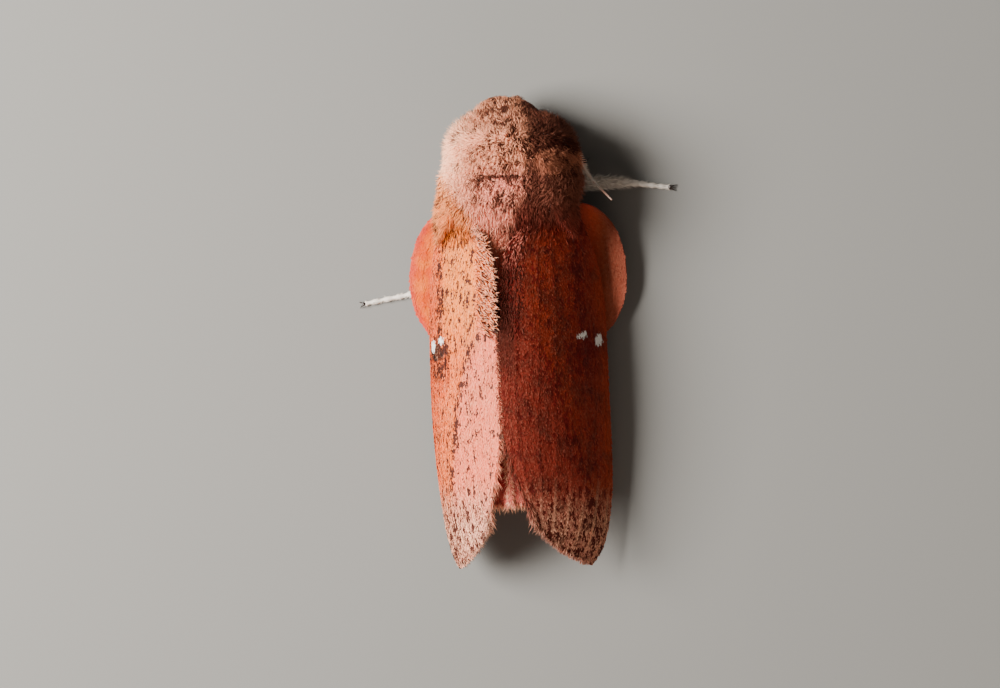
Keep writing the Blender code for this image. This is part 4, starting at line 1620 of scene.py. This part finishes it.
@dataclass
class Tegula:
    """The furred flap over a forewing's root."""

    middle: Middle
    side: Side
    rings: int = 60
    sides: int = 36
    hair_count: int = 6500
    hair: Coat = Coat(Shapes.HAIR, 0.7, 0.06, 0.3, 0.16, turn_spread=0.3, roll_spread=0.5, seed=41)
    sections: Points = (
        (2.60, 4.3, 7.30, 0.15, 0.12), (2.75, 4.7, 7.35, 0.60, 0.34), (3.30, 5.5, 7.15, 1.00, 0.42),
        (3.75, 6.5, 6.75, 1.15, 0.42), (4.15, 7.7, 6.20, 1.05, 0.36), (4.50, 8.9, 5.65, 0.65, 0.26),
        (4.70, 9.7, 5.38, 0.12, 0.10),
    )

    def dress(self, seed: int) -> None:
        """Makes the flap's skin and its short coat.

        Args:
            seed: What its random numbers start from.
        """
        chance = np.random.default_rng(seed)
        rows = [(self.side.sign * row[0], *row[1:]) for row in self.sections]
        limb = Limb(self.middle, rows, (self.side.sign * 0.75, 0.0, 0.66))
        name, replaced = f"flap_{self.side.word}", f"tegula_{self.side.word}"
        limb.skin(name, Look.SKIN, replaced, rings=self.rings, sides=self.sides)
        share, turn = limb.scatter(self.hair_count, lambda s, t: 0.2 + ease(np.abs(t), 2.4, 1.4), chance)
        roots = limb.roots(share, turn, AHEAD, chance)
        roots.lift = 0.28 - 0.12 * ease(share, 0.5, 1.0)
        roots.length = 0.8 + 0.5 * ease(share, 0.45, 0.9)
        self.hair.grow(f"coat_flap_{self.side.word}", roots, Look.COAT)


LEGS = {
    "foreleg_left": (
        (1.3, 4.6, 2.3), (3.4, 5.1, 1.8), (4.7, 6.4, 0.95), (5.15, 6.6, 0.42), (5.55, 5.9, 0.18),
        (5.8, 5.05, 0.17),
    ),
    "foreleg_right": (
        (1.3, 4.6, 2.3), (2.9, 4.8, 1.8), (3.6, 5.6, 0.95), (3.95, 5.8, 0.42), (4.15, 5.5, 0.18),
        (4.3, 4.95, 0.17),
    ),
    "midleg_left": (
        (1.7, 6.9, 1.9), (4.2, 7.6, 1.6), (5.4, 9.0, 0.75), (5.8, 10.0, 0.36), (6.1, 10.9, 0.18),
        (6.5, 12.0, 0.17),
    ),
    "midleg_right": (
        (1.7, 6.9, 1.9), (4.8, 6.5, 1.7), (7.35, 6.5, 0.85), (8.25, 6.6, 0.40), (9.15, 6.75, 0.18),
        (10.55, 6.95, 0.17),
    ),
    "hindleg_left": (
        (1.5, 8.8, 2.0), (4.0, 12.0, 1.0), (5.6, 13.2, 0.44), (7.3, 13.6, 0.36), (9.4, 13.95, 0.18),
        (11.6, 14.3, 0.17),
    ),
    "hindleg_right": (
        (1.5, 8.8, 2.0), (3.6, 12.4, 1.0), (4.4, 15.2, 0.45), (4.6, 16.4, 0.36), (4.8, 17.6, 0.18),
        (5.1, 19.0, 0.17),
    ),
}


@dataclass
class Leg:
    """A furred leg on the floor, with its jointed foot and two claws."""

    middle: Middle
    name: str
    radii: tuple[float, ...] = (0.38, 0.36, 0.27, 0.21, 0.18, 0.17)
    rings: int = 120
    sides: int = 16
    ankle: tuple[float, float] = (0.62, 0.66)
    foot_share: float = 0.36
    foot_segments: int = 5
    knot_height: float = 0.03
    hair_count: int = 900
    hair: Coat = Coat(Shapes.HAIR, 0.5, 0.06, 0.3, 0.12, turn_spread=0.3, roll_spread=0.5, seed=51)
    hair_lift: float = 0.35
    claw_length: float = 0.58
    claw_radius: float = 0.095
    claw_splay: float = 0.45
    claw_rings: int = 18
    claw_sides: int = 10

    def dress(self, seed: int) -> None:
        """Makes the leg, its claws and its hair.

        Args:
            seed: What its random numbers start from.
        """
        sign = 1 if self.name.endswith("right") else -1
        rows = [(sign * out, aft, height, r, r) for (out, aft, height), r in zip(LEGS[self.name], self.radii)]
        limb = Limb(self.middle, rows)
        share = np.linspace(0, 1, self.rings)
        knots = np.cos(share * 2 * math.pi * self.foot_segments / self.foot_share)
        knots *= self.knot_height * ease(share, *self.ankle)
        limb.skin(self.name + "_leg", Look.LIMB, self.name, rings=self.rings, sides=self.sides, relief=knots)
        self.claws(limb)
        chance = np.random.default_rng(seed)
        place, turn = limb.scatter(self.hair_count, lambda s, t: 0.35 + ease(s, 0.75, 0.45), chance)
        roots = limb.roots(place, turn, AHEAD, chance)
        roots.lift += self.hair_lift
        roots.length = 1.0 - 0.55 * ease(place, 0.5, 0.85)
        roots = roots.kept(roots.points[:, 2] > 0.1)
        roots.length = np.minimum(roots.length, roots.points[:, 2] / 0.35)
        self.hair.grow(self.name + "_hair", roots, Look.LIMB_HAIR)

    def claws(self, limb: Limb) -> None:
        """Makes the two curved claws at the foot's end.

        Args:
            limb: The leg.
        """
        end, before = limb.line(1.0)[:3], limb.line(0.93)[:3]
        heading = unit(np.array([end[0] - before[0], end[1] - before[1], 0.0]))
        across = np.array([-heading[1], heading[0], 0.0])
        for label, splay in (("inner", -self.claw_splay), ("outer", self.claw_splay)):
            way = unit(heading + across * splay)
            rows = []
            for share in (0.0, 0.25, 0.5, 0.75, 1.0):
                spot = end + way * self.claw_length * share
                height = 0.2 + 0.16 * math.sin(math.pi * (share + 0.15)) - 0.1 * share
                radius = self.claw_radius * (1.04 - share)
                rows.append((spot[0], spot[1], height, radius, radius))
            claw = Limb(self.middle, rows)
            claw.skin(f"{self.name}_claw_{label}", Look.CLAW, rings=self.claw_rings, sides=self.claw_sides)


ANTENNAE = {
    Side.LEFT: ((1.6, 2.1, 5.05), (2.95, 2.7, 4.4), (3.9, 3.8, 3.55), (4.35, 5.4, 3.0), (4.45, 7.0, 2.95)),
    Side.RIGHT: ((1.6, 2.1, 5.05), (2.95, 2.7, 4.4), (4.1, 4.1, 3.55), (5.3, 6.0, 3.4), (7.2, 7.8, 3.85)),
}


@dataclass
class Antenna:
    """A feathered feeler folded back along the flank."""

    middle: Middle
    side: Side
    radii: tuple[float, ...] = (0.16, 0.14, 0.12, 0.1, 0.06)
    rings: int = 160
    sides: int = 12
    ridges: int = 38
    ridge_height: float = 0.012
    pairs: int = 34
    rayed: tuple[float, float] = (0.08, 0.72)
    ray: Coat = Coat(Shapes.STRAIGHT, 0.6, 0.085, 0.05, 0.05, turn_spread=0.06, roll_spread=0.1, seed=61)

    def dress(self, seed: int) -> None:
        """Makes the shaft and its two rows of rays.

        Args:
            seed: What its random numbers start from.
        """
        chance = np.random.default_rng(seed)
        sign = self.side.sign
        knots = zip(ANTENNAE[self.side], self.radii)
        rows = [(sign * out, aft, height, r, r) for (out, aft, height), r in knots]
        limb = Limb(self.middle, rows, (sign * 0.5, 0.0, 0.85))
        ridged = self.ridge_height * np.sin(np.linspace(0, 1, self.rings) * math.pi * 2 * self.ridges)
        limb.skin(
            f"feeler_{self.side.word}", Look.FEELER, f"antenna_{self.side.word}",
            rings=self.rings, sides=self.sides, relief=ridged,
        )
        first, last = self.rayed
        places = np.repeat(np.linspace(first, last, self.pairs), 2)
        turn = np.tile([-math.pi / 2, math.pi / 2], self.pairs)
        roots = limb.roots(places, turn, AHEAD, chance)
        roots.lie = unit(roots.out + roots.lie * 0.6)
        roots.out = limb.axes(places)[2]
        roots.points = limb.centre(places)
        roots.length = np.sin(math.pi * (0.2 + 0.75 * (places - first) / (last - first))) + 0.1
        self.ray.grow(f"feeler_rays_{self.side.word}", roots, Look.FEELER)


@dataclass
class Face:
    """The eyes, mouth feelers and the hair round them."""

    middle: Middle
    eye_rings: int = 48
    eye_sides: int = 72
    facet_height: float = 0.005
    palp_rings: int = 24
    palp_sides: int = 14
    palp_sections: Points = (
        (0.45, 1.2, 2.6, 0.28, 0.28), (0.52, 0.7, 2.35, 0.3, 0.3), (0.6, 0.35, 2.2, 0.22, 0.22),
        (0.62, 0.15, 2.12, 0.05, 0.05),
    )
    palp_hairs: int = 500
    palp_seed: int = 71
    palp_hair: Coat = Coat(Shapes.HAIR, 0.5, 0.07, seed=71)

    def dress(self) -> None:
        """Makes both sides."""
        for side in Side:
            self.eye(side)
            self.palp(side)

    def eye(self, side: Side) -> None:
        """A compound eye, its facets raised in its surface.

        Args:
            side: Its side.
        """
        out, aft, height = EYE_PLACE
        rings, sides = self.eye_rings, self.eye_sides
        polar = np.linspace(0.02, math.pi - 0.02, rings)[:, None]
        turn = np.linspace(0, 2 * math.pi, sides, endpoint=False)[None]
        facets = self.facet_height * np.cos(np.arange(rings)[:, None] * math.pi) * np.cos(turn * sides / 2)
        radius = EYE_RADIUS + facets * np.sin(polar)
        parts = np.sin(polar) * np.cos(turn), np.sin(polar) * np.sin(turn), np.cos(polar)
        ball = np.stack(np.broadcast_arrays(*parts), -1)
        points = self.middle.world(side.sign * out, aft, height) + ball * radius[..., None]
        piece = make_object(f"eye_ball_{side.word}", points, tube_faces(rings, sides), Look.EYE)
        dressed(outward(piece), Look.EYE, f"eye_{side.word}")

    def palp(self, side: Side) -> None:
        """A short furred mouth feeler.

        Args:
            side: Its side.
        """
        limb = Limb(self.middle, [(side.sign * row[0], *row[1:]) for row in self.palp_sections])
        limb.skin(f"palp_{side.word}", Look.SKIN, rings=self.palp_rings, sides=self.palp_sides)
        chance = np.random.default_rng(self.palp_seed)
        share, turn = limb.scatter(self.palp_hairs, lambda s, t: np.ones_like(s), chance)
        roots = limb.roots(share, turn, AHEAD, chance)
        roots.lift += 0.3
        self.palp_hair.grow(f"coat_palp_{side.word}", roots, Look.COAT)


DARK_LINE = ((0.0, 2.0), (17.4, 2.3), (19.7, 3.3), (23.7, 4.5), (27.5, 5.6), (34.0, 6.8))
# Where the painted shade on the coat's right side begins, across, by distance aft.
SHADE_LINE = ((0.0, 1.2), (3.0, 1.5), (6.6, 1.7), (8.6, 0.9), (10.5, 0.7), (34.0, 0.7))
SHOULDER_LINE = (
    (0.0, -6.0), (4.2, -4.9), (5.2, -4.05), (6.2, -3.4), (7.3, -2.76), (8.3, -2.1), (10.0, -1.6),
    (34.0, -1.6),
)
PATTERN_LENGTH = 34.0
PATTERN_WIDTH = 20.0


def specks() -> bpy.types.NodeTree:
    """The group that tells which grains at a place are dark, in small clumps, at a density.

    Returns:
        The group, made once.
    """
    found = bpy.data.node_groups.get("specks")
    if found:
        return found
    inputs = {"Place": "Vector", "Grain": "Float", "Density": "Float"}
    sheet = NodeSheet.group("specks", "ShaderNodeTree", inputs, {"Mask": "Float"})
    given = sheet.node("NodeGroupInput").outputs
    stretched = sheet.node("ShaderNodeMapping", {"Vector": given["Place"], "Scale": (1.5, 2.9, 1.5)})
    clump = Signal(sheet, given["Grain"]) * 0.16 + sheet.noise(stretched.outputs[0], 1.0, 2.0).outputs[0]
    shown = sheet.math("SQRT", given["Density"]) * 0.39 + clump
    sheet.node("NodeGroupOutput", {0: shown.step(0.84, 0.865)})
    return sheet.tree


@dataclass
class Markings:
    """A shader node group that places the colours of one part of the moth and of its hair's tips."""

    name: str
    cloud_scale: float

    def __post_init__(self) -> None:
        """Makes the group."""
        sheet = NodeSheet.group(
            self.name, "ShaderNodeTree", {"Place": "Vector", "Grain": "Float"},
            {"Color": "Color", "Hair Tip": "Color"},
        )
        self.sheet, given = sheet, sheet.node("NodeGroupInput").outputs
        self.place, self.grain = given["Place"], Signal(sheet, given["Grain"])
        self.parts = sheet.parts(self.place)
        self.broad = Signal(sheet, sheet.noise(self.place, self.cloud_scale).outputs[0])
        sheet.node("NodeGroupOutput", dict(enumerate(self.colours())))

    def colours(self) -> tuple[object, object]:
        """The part's colour and its hair tips' colour. Each part has its own."""
        raise NotImplementedError

    def sided(self) -> tuple[Signal, Signal]:
        """1 on the right wing and 0 on the left, and the place's third part without that mark."""
        right = self.sheet.math("GREATER_THAN", self.parts[2], RIGHT_MARK / 2)
        return right, self.parts[2] - right * RIGHT_MARK

    def speckled(self, density: Signal) -> Signal:
        """1 in the dark specks at a density."""
        inputs = {"Place": self.place, "Grain": self.grain, "Density": density}
        return Signal(self.sheet, self.sheet.node("ShaderNodeGroup", inputs, node_tree=specks()).outputs[0])

    def bent(self) -> list[Signal]:
        """The place's first two parts, pushed about a little so that round marks get uneven rims."""
        pushes = self.sheet.parts(self.sheet.noise(self.place, 1.6).outputs["Color"])
        return [(push - 0.5) * 0.7 + part for part, push in zip(self.parts[:2], pushes)]

    def course(self, knots: Points) -> Signal:
        """How far across the moth a line of its pattern runs.

        Args:
            knots: Places (aft, across) that the line runs through.

        Returns:
            The distance across, at the place's distance aft.
        """
        node = self.sheet.node("ShaderNodeFloatCurve", {"Value": self.parts[0] / PATTERN_LENGTH})
        points = node.mapping.curves[0].points
        places = [(aft / PATTERN_LENGTH, 0.5 + across / PATTERN_WIDTH) for aft, across in knots]
        for place in places[1:-1]:
            points.new(*place)
        for point, place in zip(points, places):
            point.location = place
        node.mapping.update()
        return Signal(self.sheet, node.outputs[0]) * PATTERN_WIDTH - PATTERN_WIDTH / 2


class ForewingMarkings(Markings):
    """The forewing's colours at a place (aft, down from the ridge, on a vein)."""

    def colours(self) -> tuple[object, object]:
        """The scales' colour and the hair tips' colour.

        Returns:
            The two colours.
        """
        sheet, broad, (aft, down, _) = self.sheet, self.broad, self.parts
        right, vein = self.sided()
        line = self.course(DARK_LINE)
        beyond = aft.step(16.6, 18.5)
        inner = (line - down).step(-0.35, 0.45) * beyond
        tip = aft.step(26.5, 31.0)
        # The base's gold is left mostly off the right wing, which is painted in shade further on.
        golden = aft.step(19.5, 14.0) * down.step(1.2, 2.2) * (right * -0.85 + 0.85) * down.step(6.4, 4.8)
        ground = sheet.paint(
            Tint.APRICOT,
            (down.step(4.5, 8.0), Tint.ORANGE),
            (down.step(2.8, 1.0), Tint.PINK),
            (golden, Tint.GOLD),
            (aft.step(19.0, 27.0) * 0.5, Tint.APRICOT),
            (inner, Tint.PINK),
            (tip * 0.75, Tint.ASH),
            (sheet.oval(aft, down, (19.3, 6.4, 1.8, 1.6)), Tint.ORANGE),
            (broad.step(0.45, 0.7) * 0.25, Tint.TAN),
            (vein * (tip * 0.8 + 0.05), Tint.CREAM),
        )
        density = self.density(line, beyond, inner, tip) + golden * 0.12
        density = density * (broad * 1.5 + 0.25) * (1.0 - vein * tip) * (1.0 - tip * 0.4)
        mask = self.speckled(density)
        bent = self.bent()
        flecks = self.grain.strewn(53.0, 0.62, 0.72) * (tip * 0.45 + 0.18) * (1.0 - mask)
        white = sheet.oval(*bent, (17.1, 6.0, 0.25, 0.42)).most(sheet.oval(*bent, (17.45, 7.75, 0.4, 0.48)))
        colour = sheet.paint(
            ground,
            (mask, Tint.BROWN),
            (self.grain.strewn(97.0, 0.56, 0.66) * tip * 0.8, Tint.BROWN),
            (sheet.oval(*bent, (17.9, 6.9, 0.6, 1.3)) * 0.9, Tint.UMBER),
            # From here the right wing is painted darker and redder than the left. It gets a darker band up
            # towards the ridge, darker clouds and fewer pale flecks, all less towards its tip, where pale
            # veins show. Its front edge keeps a little orange. This is painted shade on the side turned from
            # the key lamp.
            (right * (0.86 - tip * 0.6), Tint.MAROON),
            (right * down.step(5.5, 1.0) * 0.25, Tint.UMBER),
            (right * down.step(6.8, 8.6) * (0.3 - tip * 0.3), Tint.ORANGE),
            (right * broad.step(0.45, 0.65) * 0.36, Tint.UMBER),
            (vein * tip * right * 0.4 * broad.step(0.42, 0.6), Tint.CREAM),
            (flecks * (right * (tip * 0.6 - 0.7) + 1.0), Tint.CREAM),
            # A dark strip along the right wing's inner edge beside the comb: painted shadow.
            (down.step(0.8, 0.45) * aft.step(21.0, 17.0) * right * 0.8, Tint.BROWN),
            (white, Tint.WHITE),
        )
        hair = sheet.paint(
            Tint.GOLD,
            (down.step(3.0, 2.0).most(aft.step(17.0, 20.0)), Tint.PEARL),
            # On the right wing the hair is painted mauve, russet and, by the comb, rose: painted shade on
            # that side.
            (right * 0.5, Tint.MAUVE),
            (right * (aft.step(24.0, 20.0) * 0.4 + 0.6), Tint.RUSSET),
            (right * aft.step(12.5, 11.0) * down.step(2.4, 1.6) * 0.5, Tint.ROSE),
        )
        return colour, hair

    def density(self, line: Signal, beyond: Signal, inner: Signal, tip: Signal) -> Signal:
        """How many of the scales are dark.

        Args:
            line: How far down the dark line runs.
            beyond: 1 where the wing has passed the coat.
            inner: 1 between the dark line and the ridge.
            tip: 1 near the outer edge.

        Returns:
            The share of dark scales, before it varies from place to place.
        """
        aft, down, _ = self.parts
        total = tip * 0.36 + 0.17 - inner * 0.01 + aft.step(12.0, 8.0) * 0.10
        total = total + down.bell(line, 0.5) * beyond * 0.36
        total = total + down.bell(6.2, 0.55) * aft.step(16.8, 15.8) * 0.45
        # Dark scales under the comb near the ridge: painted shade between its hairs.
        total = total + down.step(1.5, 0.9) * aft.step(17.5, 15.5)
        return total + self.sheet.oval(aft, down, (18.3, 6.8, 1.7, 2.2)) * 0.35


class HindwingMarkings(Markings):
    """The hindwing's colours at a place (aft, out from the middle, share from front to back)."""

    def colours(self) -> tuple[object, object]:
        """The scales' colour and the hair tips' colour.

        Returns:
            The two colours.
        """
        aft, out, _ = self.parts
        right, share = self.sided()
        # On the right hindwing the lobe is painted pinker, darker and duller, and its gold clouds are left
        # off: painted shade on the side turned from the key lamp.
        right_shade, right_outer_shade = right * out.step(3.0, 4.5), right * out.step(5.2, 6.8)
        lobe = self.broad.step(0.35, 0.7) * out.step(3.5, 5.5) * (right * -0.5 + 0.5)
        colour = self.sheet.paint(
            Tint.SALMON,
            (out.step(6.2, 3.2), Tint.CRIMSON),
            (lobe, Tint.GOLD),
            (share.step(0.08, 0.0) * 0.6, Tint.CRIMSON),
            (right_shade * 0.4, Tint.PINK),
            (right_shade * 0.3, Tint.MAROON),
            (right_outer_shade * 0.75, Tint.MAUVE),
            (right_outer_shade * aft.step(14.5, 12.5) * 0.4, Tint.RUSSET),
            (aft.step(27.0, 28.6) * 0.5, Tint.ROSE),
            (self.grain * 0.08, Tint.CREAM),
        )
        return colour, Tint.CREAM


class CoatMarkings(Markings):
    """The body's colours at a place (aft, across, height)."""

    def colours(self) -> tuple[object, object]:
        """The hair's colour and its tips' colour.

        Returns:
            The two colours.
        """
        sheet, broad, (aft, across, height) = self.sheet, self.broad, self.parts
        off = across - 0.3
        middle = off.bell(0.0, 2.4)
        front = aft.step(3.0, 0.9) * across.step(-3.0, -1.0)
        shield = middle * aft.step(4.6, 6.2)
        flap = (self.course(SHOULDER_LINE) - across).step(-0.3, 0.4) * aft.step(10.6, 10.3)
        flap = flap * height.step(1.6, 3.0)
        # On the right of the shade line the coat is painted russet, and maroon towards the rear of the chest,
        # with its tips kept less pale: painted shade on the side turned from the key lamp. The oval lessens
        # it on a small patch of the right shoulder.
        past = (across - self.course(SHADE_LINE)).step(-0.35, 0.5) * aft.step(10.8, 10.3)
        shaded = past * (0.93 - sheet.oval(aft, across, (4.9, 3.2, 0.8, 1.0)) * 0.38)
        rear_shade = shaded * aft.step(6.5, 9.5)
        colour = sheet.paint(
            Tint.CREAM,
            # Beige from the middle rightwards, leaving the left flank paler cream: painted light on the side
            # the key lamp faces.
            (across.step(-3.4, -1.2), Tint.BEIGE),
            (middle * broad.step(0.42, 0.62) * 0.25, Tint.MAUVE),
            (front * 0.25, Tint.TAN),
            (shield, Tint.ROSE),
            (aft.step(10.0, 12.0), Tint.ROSE),
            (height.step(3.4, 2.2) * 0.6, Tint.ROSE),
            (aft.step(1.6, 0.9) * height.step(3.6, 2.9) * 0.7, Tint.RUSSET),
            (flap, Tint.GOLD),
            (shaded, Tint.RUSSET),
            (rear_shade * 0.6, Tint.MAROON),
        )
        density = middle * 0.36 + across.step(1.0, 3.5) * 0.12 + flap * 0.22 + front * 0.06 - shield * 0.14
        density = (density + 0.06) * height.step(2.6, 5.0) * aft.step(10.4, 9.0)
        # Two dark patches by the dark bar across the chest.
        bar_patches = sheet.oval(aft, across, (6.1, -1.6, 0.55, 0.5)).most(
            sheet.oval(aft, across, (6.2, 1.2, 0.35, 0.7))
        )
        mask = self.speckled(density + bar_patches * 0.4)
        reach = sheet.math("ABSOLUTE", off - 0.15)
        swayed = (broad - 0.5) * 0.9 + aft
        bar = swayed.bell(5.85, 0.2) * reach.step(1.45, 1.2)
        streak = sheet.oval(swayed, across, (3.9, 3.3, 0.2, 0.8))
        dark = mask.most(bar.step(0.35, 0.6)).most(streak) * 0.95
        paler = (0.55 - past * 0.48) * (1.0 - rear_shade * 0.7) * (1.0 - flap * 0.25)
        tips = sheet.paint(colour, (paler, Tint.CREAM), (dark, Tint.BROWN))
        return sheet.paint(colour, (dark, Tint.BROWN)), tips


def new_material(name: str, **values: object) -> tuple[bpy.types.Material, NodeSheet, bpy.types.Node]:
    """A new material.

    Args:
        name: Its name.
        values: What its shader's sockets are set to, with _ for a space in a socket's name.

    Returns:
        The material, the sheet on its tree and its shader.
    """
    material = bpy.data.materials.new(name)
    material.use_nodes = True
    sheet, shader = NodeSheet(material.node_tree), material.node_tree.nodes["Principled BSDF"]
    for label, value in values.items():
        sheet.feed(shader.inputs[label.replace("_", " ")], value)
    return material, sheet, shader


@dataclass(frozen=True)
class Finish:
    """A matt finish whose colours come from one group of markings."""

    name: str
    markings: str
    roughness: float = 0.75
    shine: float = 0.2
    root_dark: float = 0.0
    tip_light: float = 0.0
    bump: float = 0.0
    grain_scale: float = 5200.0
    bump_depth: float = 0.00005
    uneven: float = 0.17

    def make(self) -> bpy.types.Material:
        """Makes the material.

        Returns:
            The material.
        """
        settings = {"Roughness": self.roughness, "Specular_IOR_Level": self.shine}
        material, sheet, shader = new_material(self.name, **settings)
        if self.bump:
            where = sheet.node("ShaderNodeTexCoord").outputs["Object"]
            cells = sheet.node("ShaderNodeTexVoronoi", {"Vector": where, "Scale": self.grain_scale}).outputs
            grain = sheet.node("ShaderNodeTexWhiteNoise", {"Vector": cells["Position"]}).outputs["Value"]
            bumps = {"Height": cells["Distance"], "Strength": self.bump, "Distance": self.bump_depth}
            sheet.feed(shader.inputs["Normal"], sheet.node("ShaderNodeBump", bumps).outputs[0])
        else:
            grain = sheet.named("shade").outputs["Fac"]
        inputs = {"Place": sheet.named("place").outputs["Vector"], "Grain": grain}
        marks = sheet.node("ShaderNodeGroup", inputs, node_tree=bpy.data.node_groups[self.markings]).outputs
        vary = sheet.math("FRACT", Signal(sheet, grain) * 37.7)
        colour = sheet.paint(marks[0], (vary * self.uneven, Tint.UMBER))
        if self.root_dark or self.tip_light:
            along = sheet.parts(sheet.named("patch").outputs["Vector"])[0]
            colour = sheet.paint(
                colour,
                (along.step(0.55, 0.0) * self.root_dark, Tint.BROWN),
                (along.step(0.4, 0.9) * self.tip_light, marks["Hair Tip"]),
            )
        sheet.feed(shader.inputs["Base Color"], colour)
        return material


@dataclass(frozen=True)
class Plain:
    """A finish of two close colours that vary over the surface."""

    name: str
    light: Tint
    dark: Tint
    roughness: float = 0.6
    coat: float = 0.0
    scale: float = 1400.0
    bump: float = 0.3
    bump_depth: float = 0.00003

    def make(self) -> bpy.types.Material:
        """Makes the material.

        Returns:
            The material.
        """
        material, sheet, shader = new_material(self.name, Roughness=self.roughness, Coat_Weight=self.coat)
        noise = sheet.noise(sheet.node("ShaderNodeTexCoord").outputs["Object"], self.scale).outputs[0]
        share = Signal(sheet, noise).step(0.3, 0.7)
        sheet.feed(shader.inputs["Base Color"], sheet.paint(self.light, (share, self.dark)))
        bumps = {"Height": noise, "Strength": self.bump, "Distance": self.bump_depth}
        sheet.feed(shader.inputs["Normal"], sheet.node("ShaderNodeBump", bumps).outputs[0])
        return material


class Look(Enum):
    """Every finish of the moth, with the record's slot that it belongs to."""

    COAT = (Slot.COAT, Finish("coat_hair", "coat_markings", 0.75, root_dark=0.2, tip_light=0.8))
    SKIN = (Slot.COAT, Finish("coat_skin", "coat_markings", 0.9, bump=0.6, grain_scale=9000.0))
    FOREWING = (Slot.FOREWING, Finish("forewing_sheet", "forewing_markings", 0.8, bump=0.5))
    FOREWING_SCALE = (Slot.FOREWING, Finish("forewing_scale", "forewing_markings", 0.65, 0.25))
    FOREWING_HAIR = (
        Slot.FOREWING, Finish("forewing_hair", "forewing_markings", 0.7, root_dark=0.55, tip_light=0.8)
    )
    HINDWING = (Slot.HINDWING, Finish("hindwing_sheet", "hindwing_markings", 0.9, 0.04, bump=0.4))
    HINDWING_SCALE = (Slot.HINDWING, Finish("hindwing_scale", "hindwing_markings", 0.9, 0.04))
    HINDWING_HAIR = (Slot.HINDWING, Finish("hindwing_hair", "hindwing_markings", 0.7, tip_light=1.0))
    LIMB = (Slot.LIMB, Plain("limb_skin", Tint.BONE, Tint.SILVER, 0.6))
    LIMB_HAIR = (Slot.LIMB, Plain("limb_hair", Tint.BONE, Tint.SILVER, 0.7))
    FEELER = (Slot.LIMB, Plain("feeler", Tint.ASH, Tint.SILVER, 0.6))
    CLAW = (Slot.LIMB, Plain("claw", Tint.CLAW, Tint.UMBER, 0.3, coat=0.4))
    EYE = (Slot.EYE, Plain("eye", Tint.CLAW, Tint.UMBER, 0.28, coat=0.35, scale=9000.0))

    @property
    def slot(self) -> str:
        """The slot's name."""
        return self.value[0].value

    @cached_property
    def material(self) -> bpy.types.Material:
        """The finish's material, made once."""
        return self.value[1].make()


@dataclass(frozen=True)
class Lamp:
    """A soft square light that points at the moth. Its place and size are in metres."""

    name: str
    place: tuple[float, float, float]
    size: float
    watts: float
    colour: tuple[float, float, float]

    def make(self) -> None:
        """Makes the light."""
        data = bpy.data.lights.new(self.name, "AREA")
        data.size, data.energy, data.color = self.size, self.watts, self.colour
        lamp = linked(self.name, data)
        lamp.location = self.place
        lamp.rotation_euler = (-Vector(self.place)).to_track_quat("-Z", "Y").to_euler()


@dataclass
class Studio:
    """The floor, the soft lights and the camera, which looks down and leans to the moth's right."""

    middle: Middle
    lean: float = math.radians(13.0)
    swing: float = math.atan(0.04)
    frame_width: float = 70.4
    distance: float = 260.0
    aim: tuple[float, float, float] = (-0.6, 17.6, 5.0)
    clip: tuple[float, float] = (0.01, 10.0)
    half_floor: float = 0.6
    floor_colour: tuple[float, float, float, float] = (0.172, 0.168, 0.156, 1.0)
    air_colour: tuple[float, float, float, float] = (1.0, 0.94, 0.88, 1.0)
    air_strength: float = 0.145
    lamps: tuple[Lamp, ...] = (
        Lamp("key", (-0.143, 0.03, 0.15), 0.13, 1.88, (1.0, 0.97, 0.93)),
        Lamp("fill", (0.05, -0.19, 0.09), 0.16, 0.16, (1.0, 0.80, 0.66)),
    )

    def set_up(self) -> None:
        """Makes the stage."""
        self.floor()
        for lamp in self.lamps:
            lamp.make()
        world = bpy.context.scene.world or bpy.data.worlds.new("World")
        bpy.context.scene.world = world
        world.use_nodes = True
        back = world.node_tree.nodes["Background"]
        back.inputs["Color"].default_value = self.air_colour
        back.inputs["Strength"].default_value = self.air_strength
        self.camera()

    def floor(self) -> None:
        """A plain pale floor."""
        half = self.half_floor
        corners = [(-half, -half, 0), (half, -half, 0), (half, half, 0), (-half, half, 0)]
        mesh = bpy.data.meshes.new("floor")
        mesh.from_pydata(corners, [], [(0, 1, 2, 3)])
        mesh.materials.append(new_material("floor", Base_Color=self.floor_colour, Roughness=0.8)[0])
        linked("floor", mesh)

    def camera(self) -> None:
        """The camera of the photograph's view."""
        right = Vector((math.cos(self.lean), 0.0, -math.sin(self.lean)))
        up = Vector((0.0, 1.0, 0.0))
        turned = right * math.cos(self.swing) - up * math.sin(self.swing)
        upright = right * math.sin(self.swing) + up * math.cos(self.swing)
        back = turned.cross(upright)
        data = bpy.data.cameras.new("camera")
        data.lens = data.sensor_width * self.distance / self.frame_width
        data.clip_start, data.clip_end = self.clip
        camera = linked("camera", data)
        aim = Vector(self.middle.world(*self.aim).tolist())
        place = Matrix.Translation((aim + back * self.distance) * MM)
        camera.matrix_world = place @ Matrix((turned, upright, back)).transposed().to_4x4()
        bpy.context.scene.camera = camera


def main() -> None:
    """Builds the moth's pieces in order, then the stage."""
    logging.basicConfig(level=logging.INFO, format="%(name)s %(message)s")
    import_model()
    middle = Middle.from_frame()
    ForewingMarkings("forewing_markings", 0.6)
    HindwingMarkings("hindwing_markings", 0.9)
    CoatMarkings("coat_markings", 1.3)
    LOG.info("finishes: %s", ", ".join(look.material.name for look in Look))
    for number, side in enumerate(Side):
        Forewing(middle, side).dress(100 + number)
        Hindwing(middle, side).dress(200 + number)
        Tegula(middle, side).dress(300 + number)
        Antenna(middle, side).dress(400 + number)
    Trunk(middle).dress()
    Face(middle).dress()
    for number, name in enumerate(LEGS):
        Leg(middle, name).dress(500 + number)
    Studio(middle).set_up()


if __name__ == "__main__":
    main()
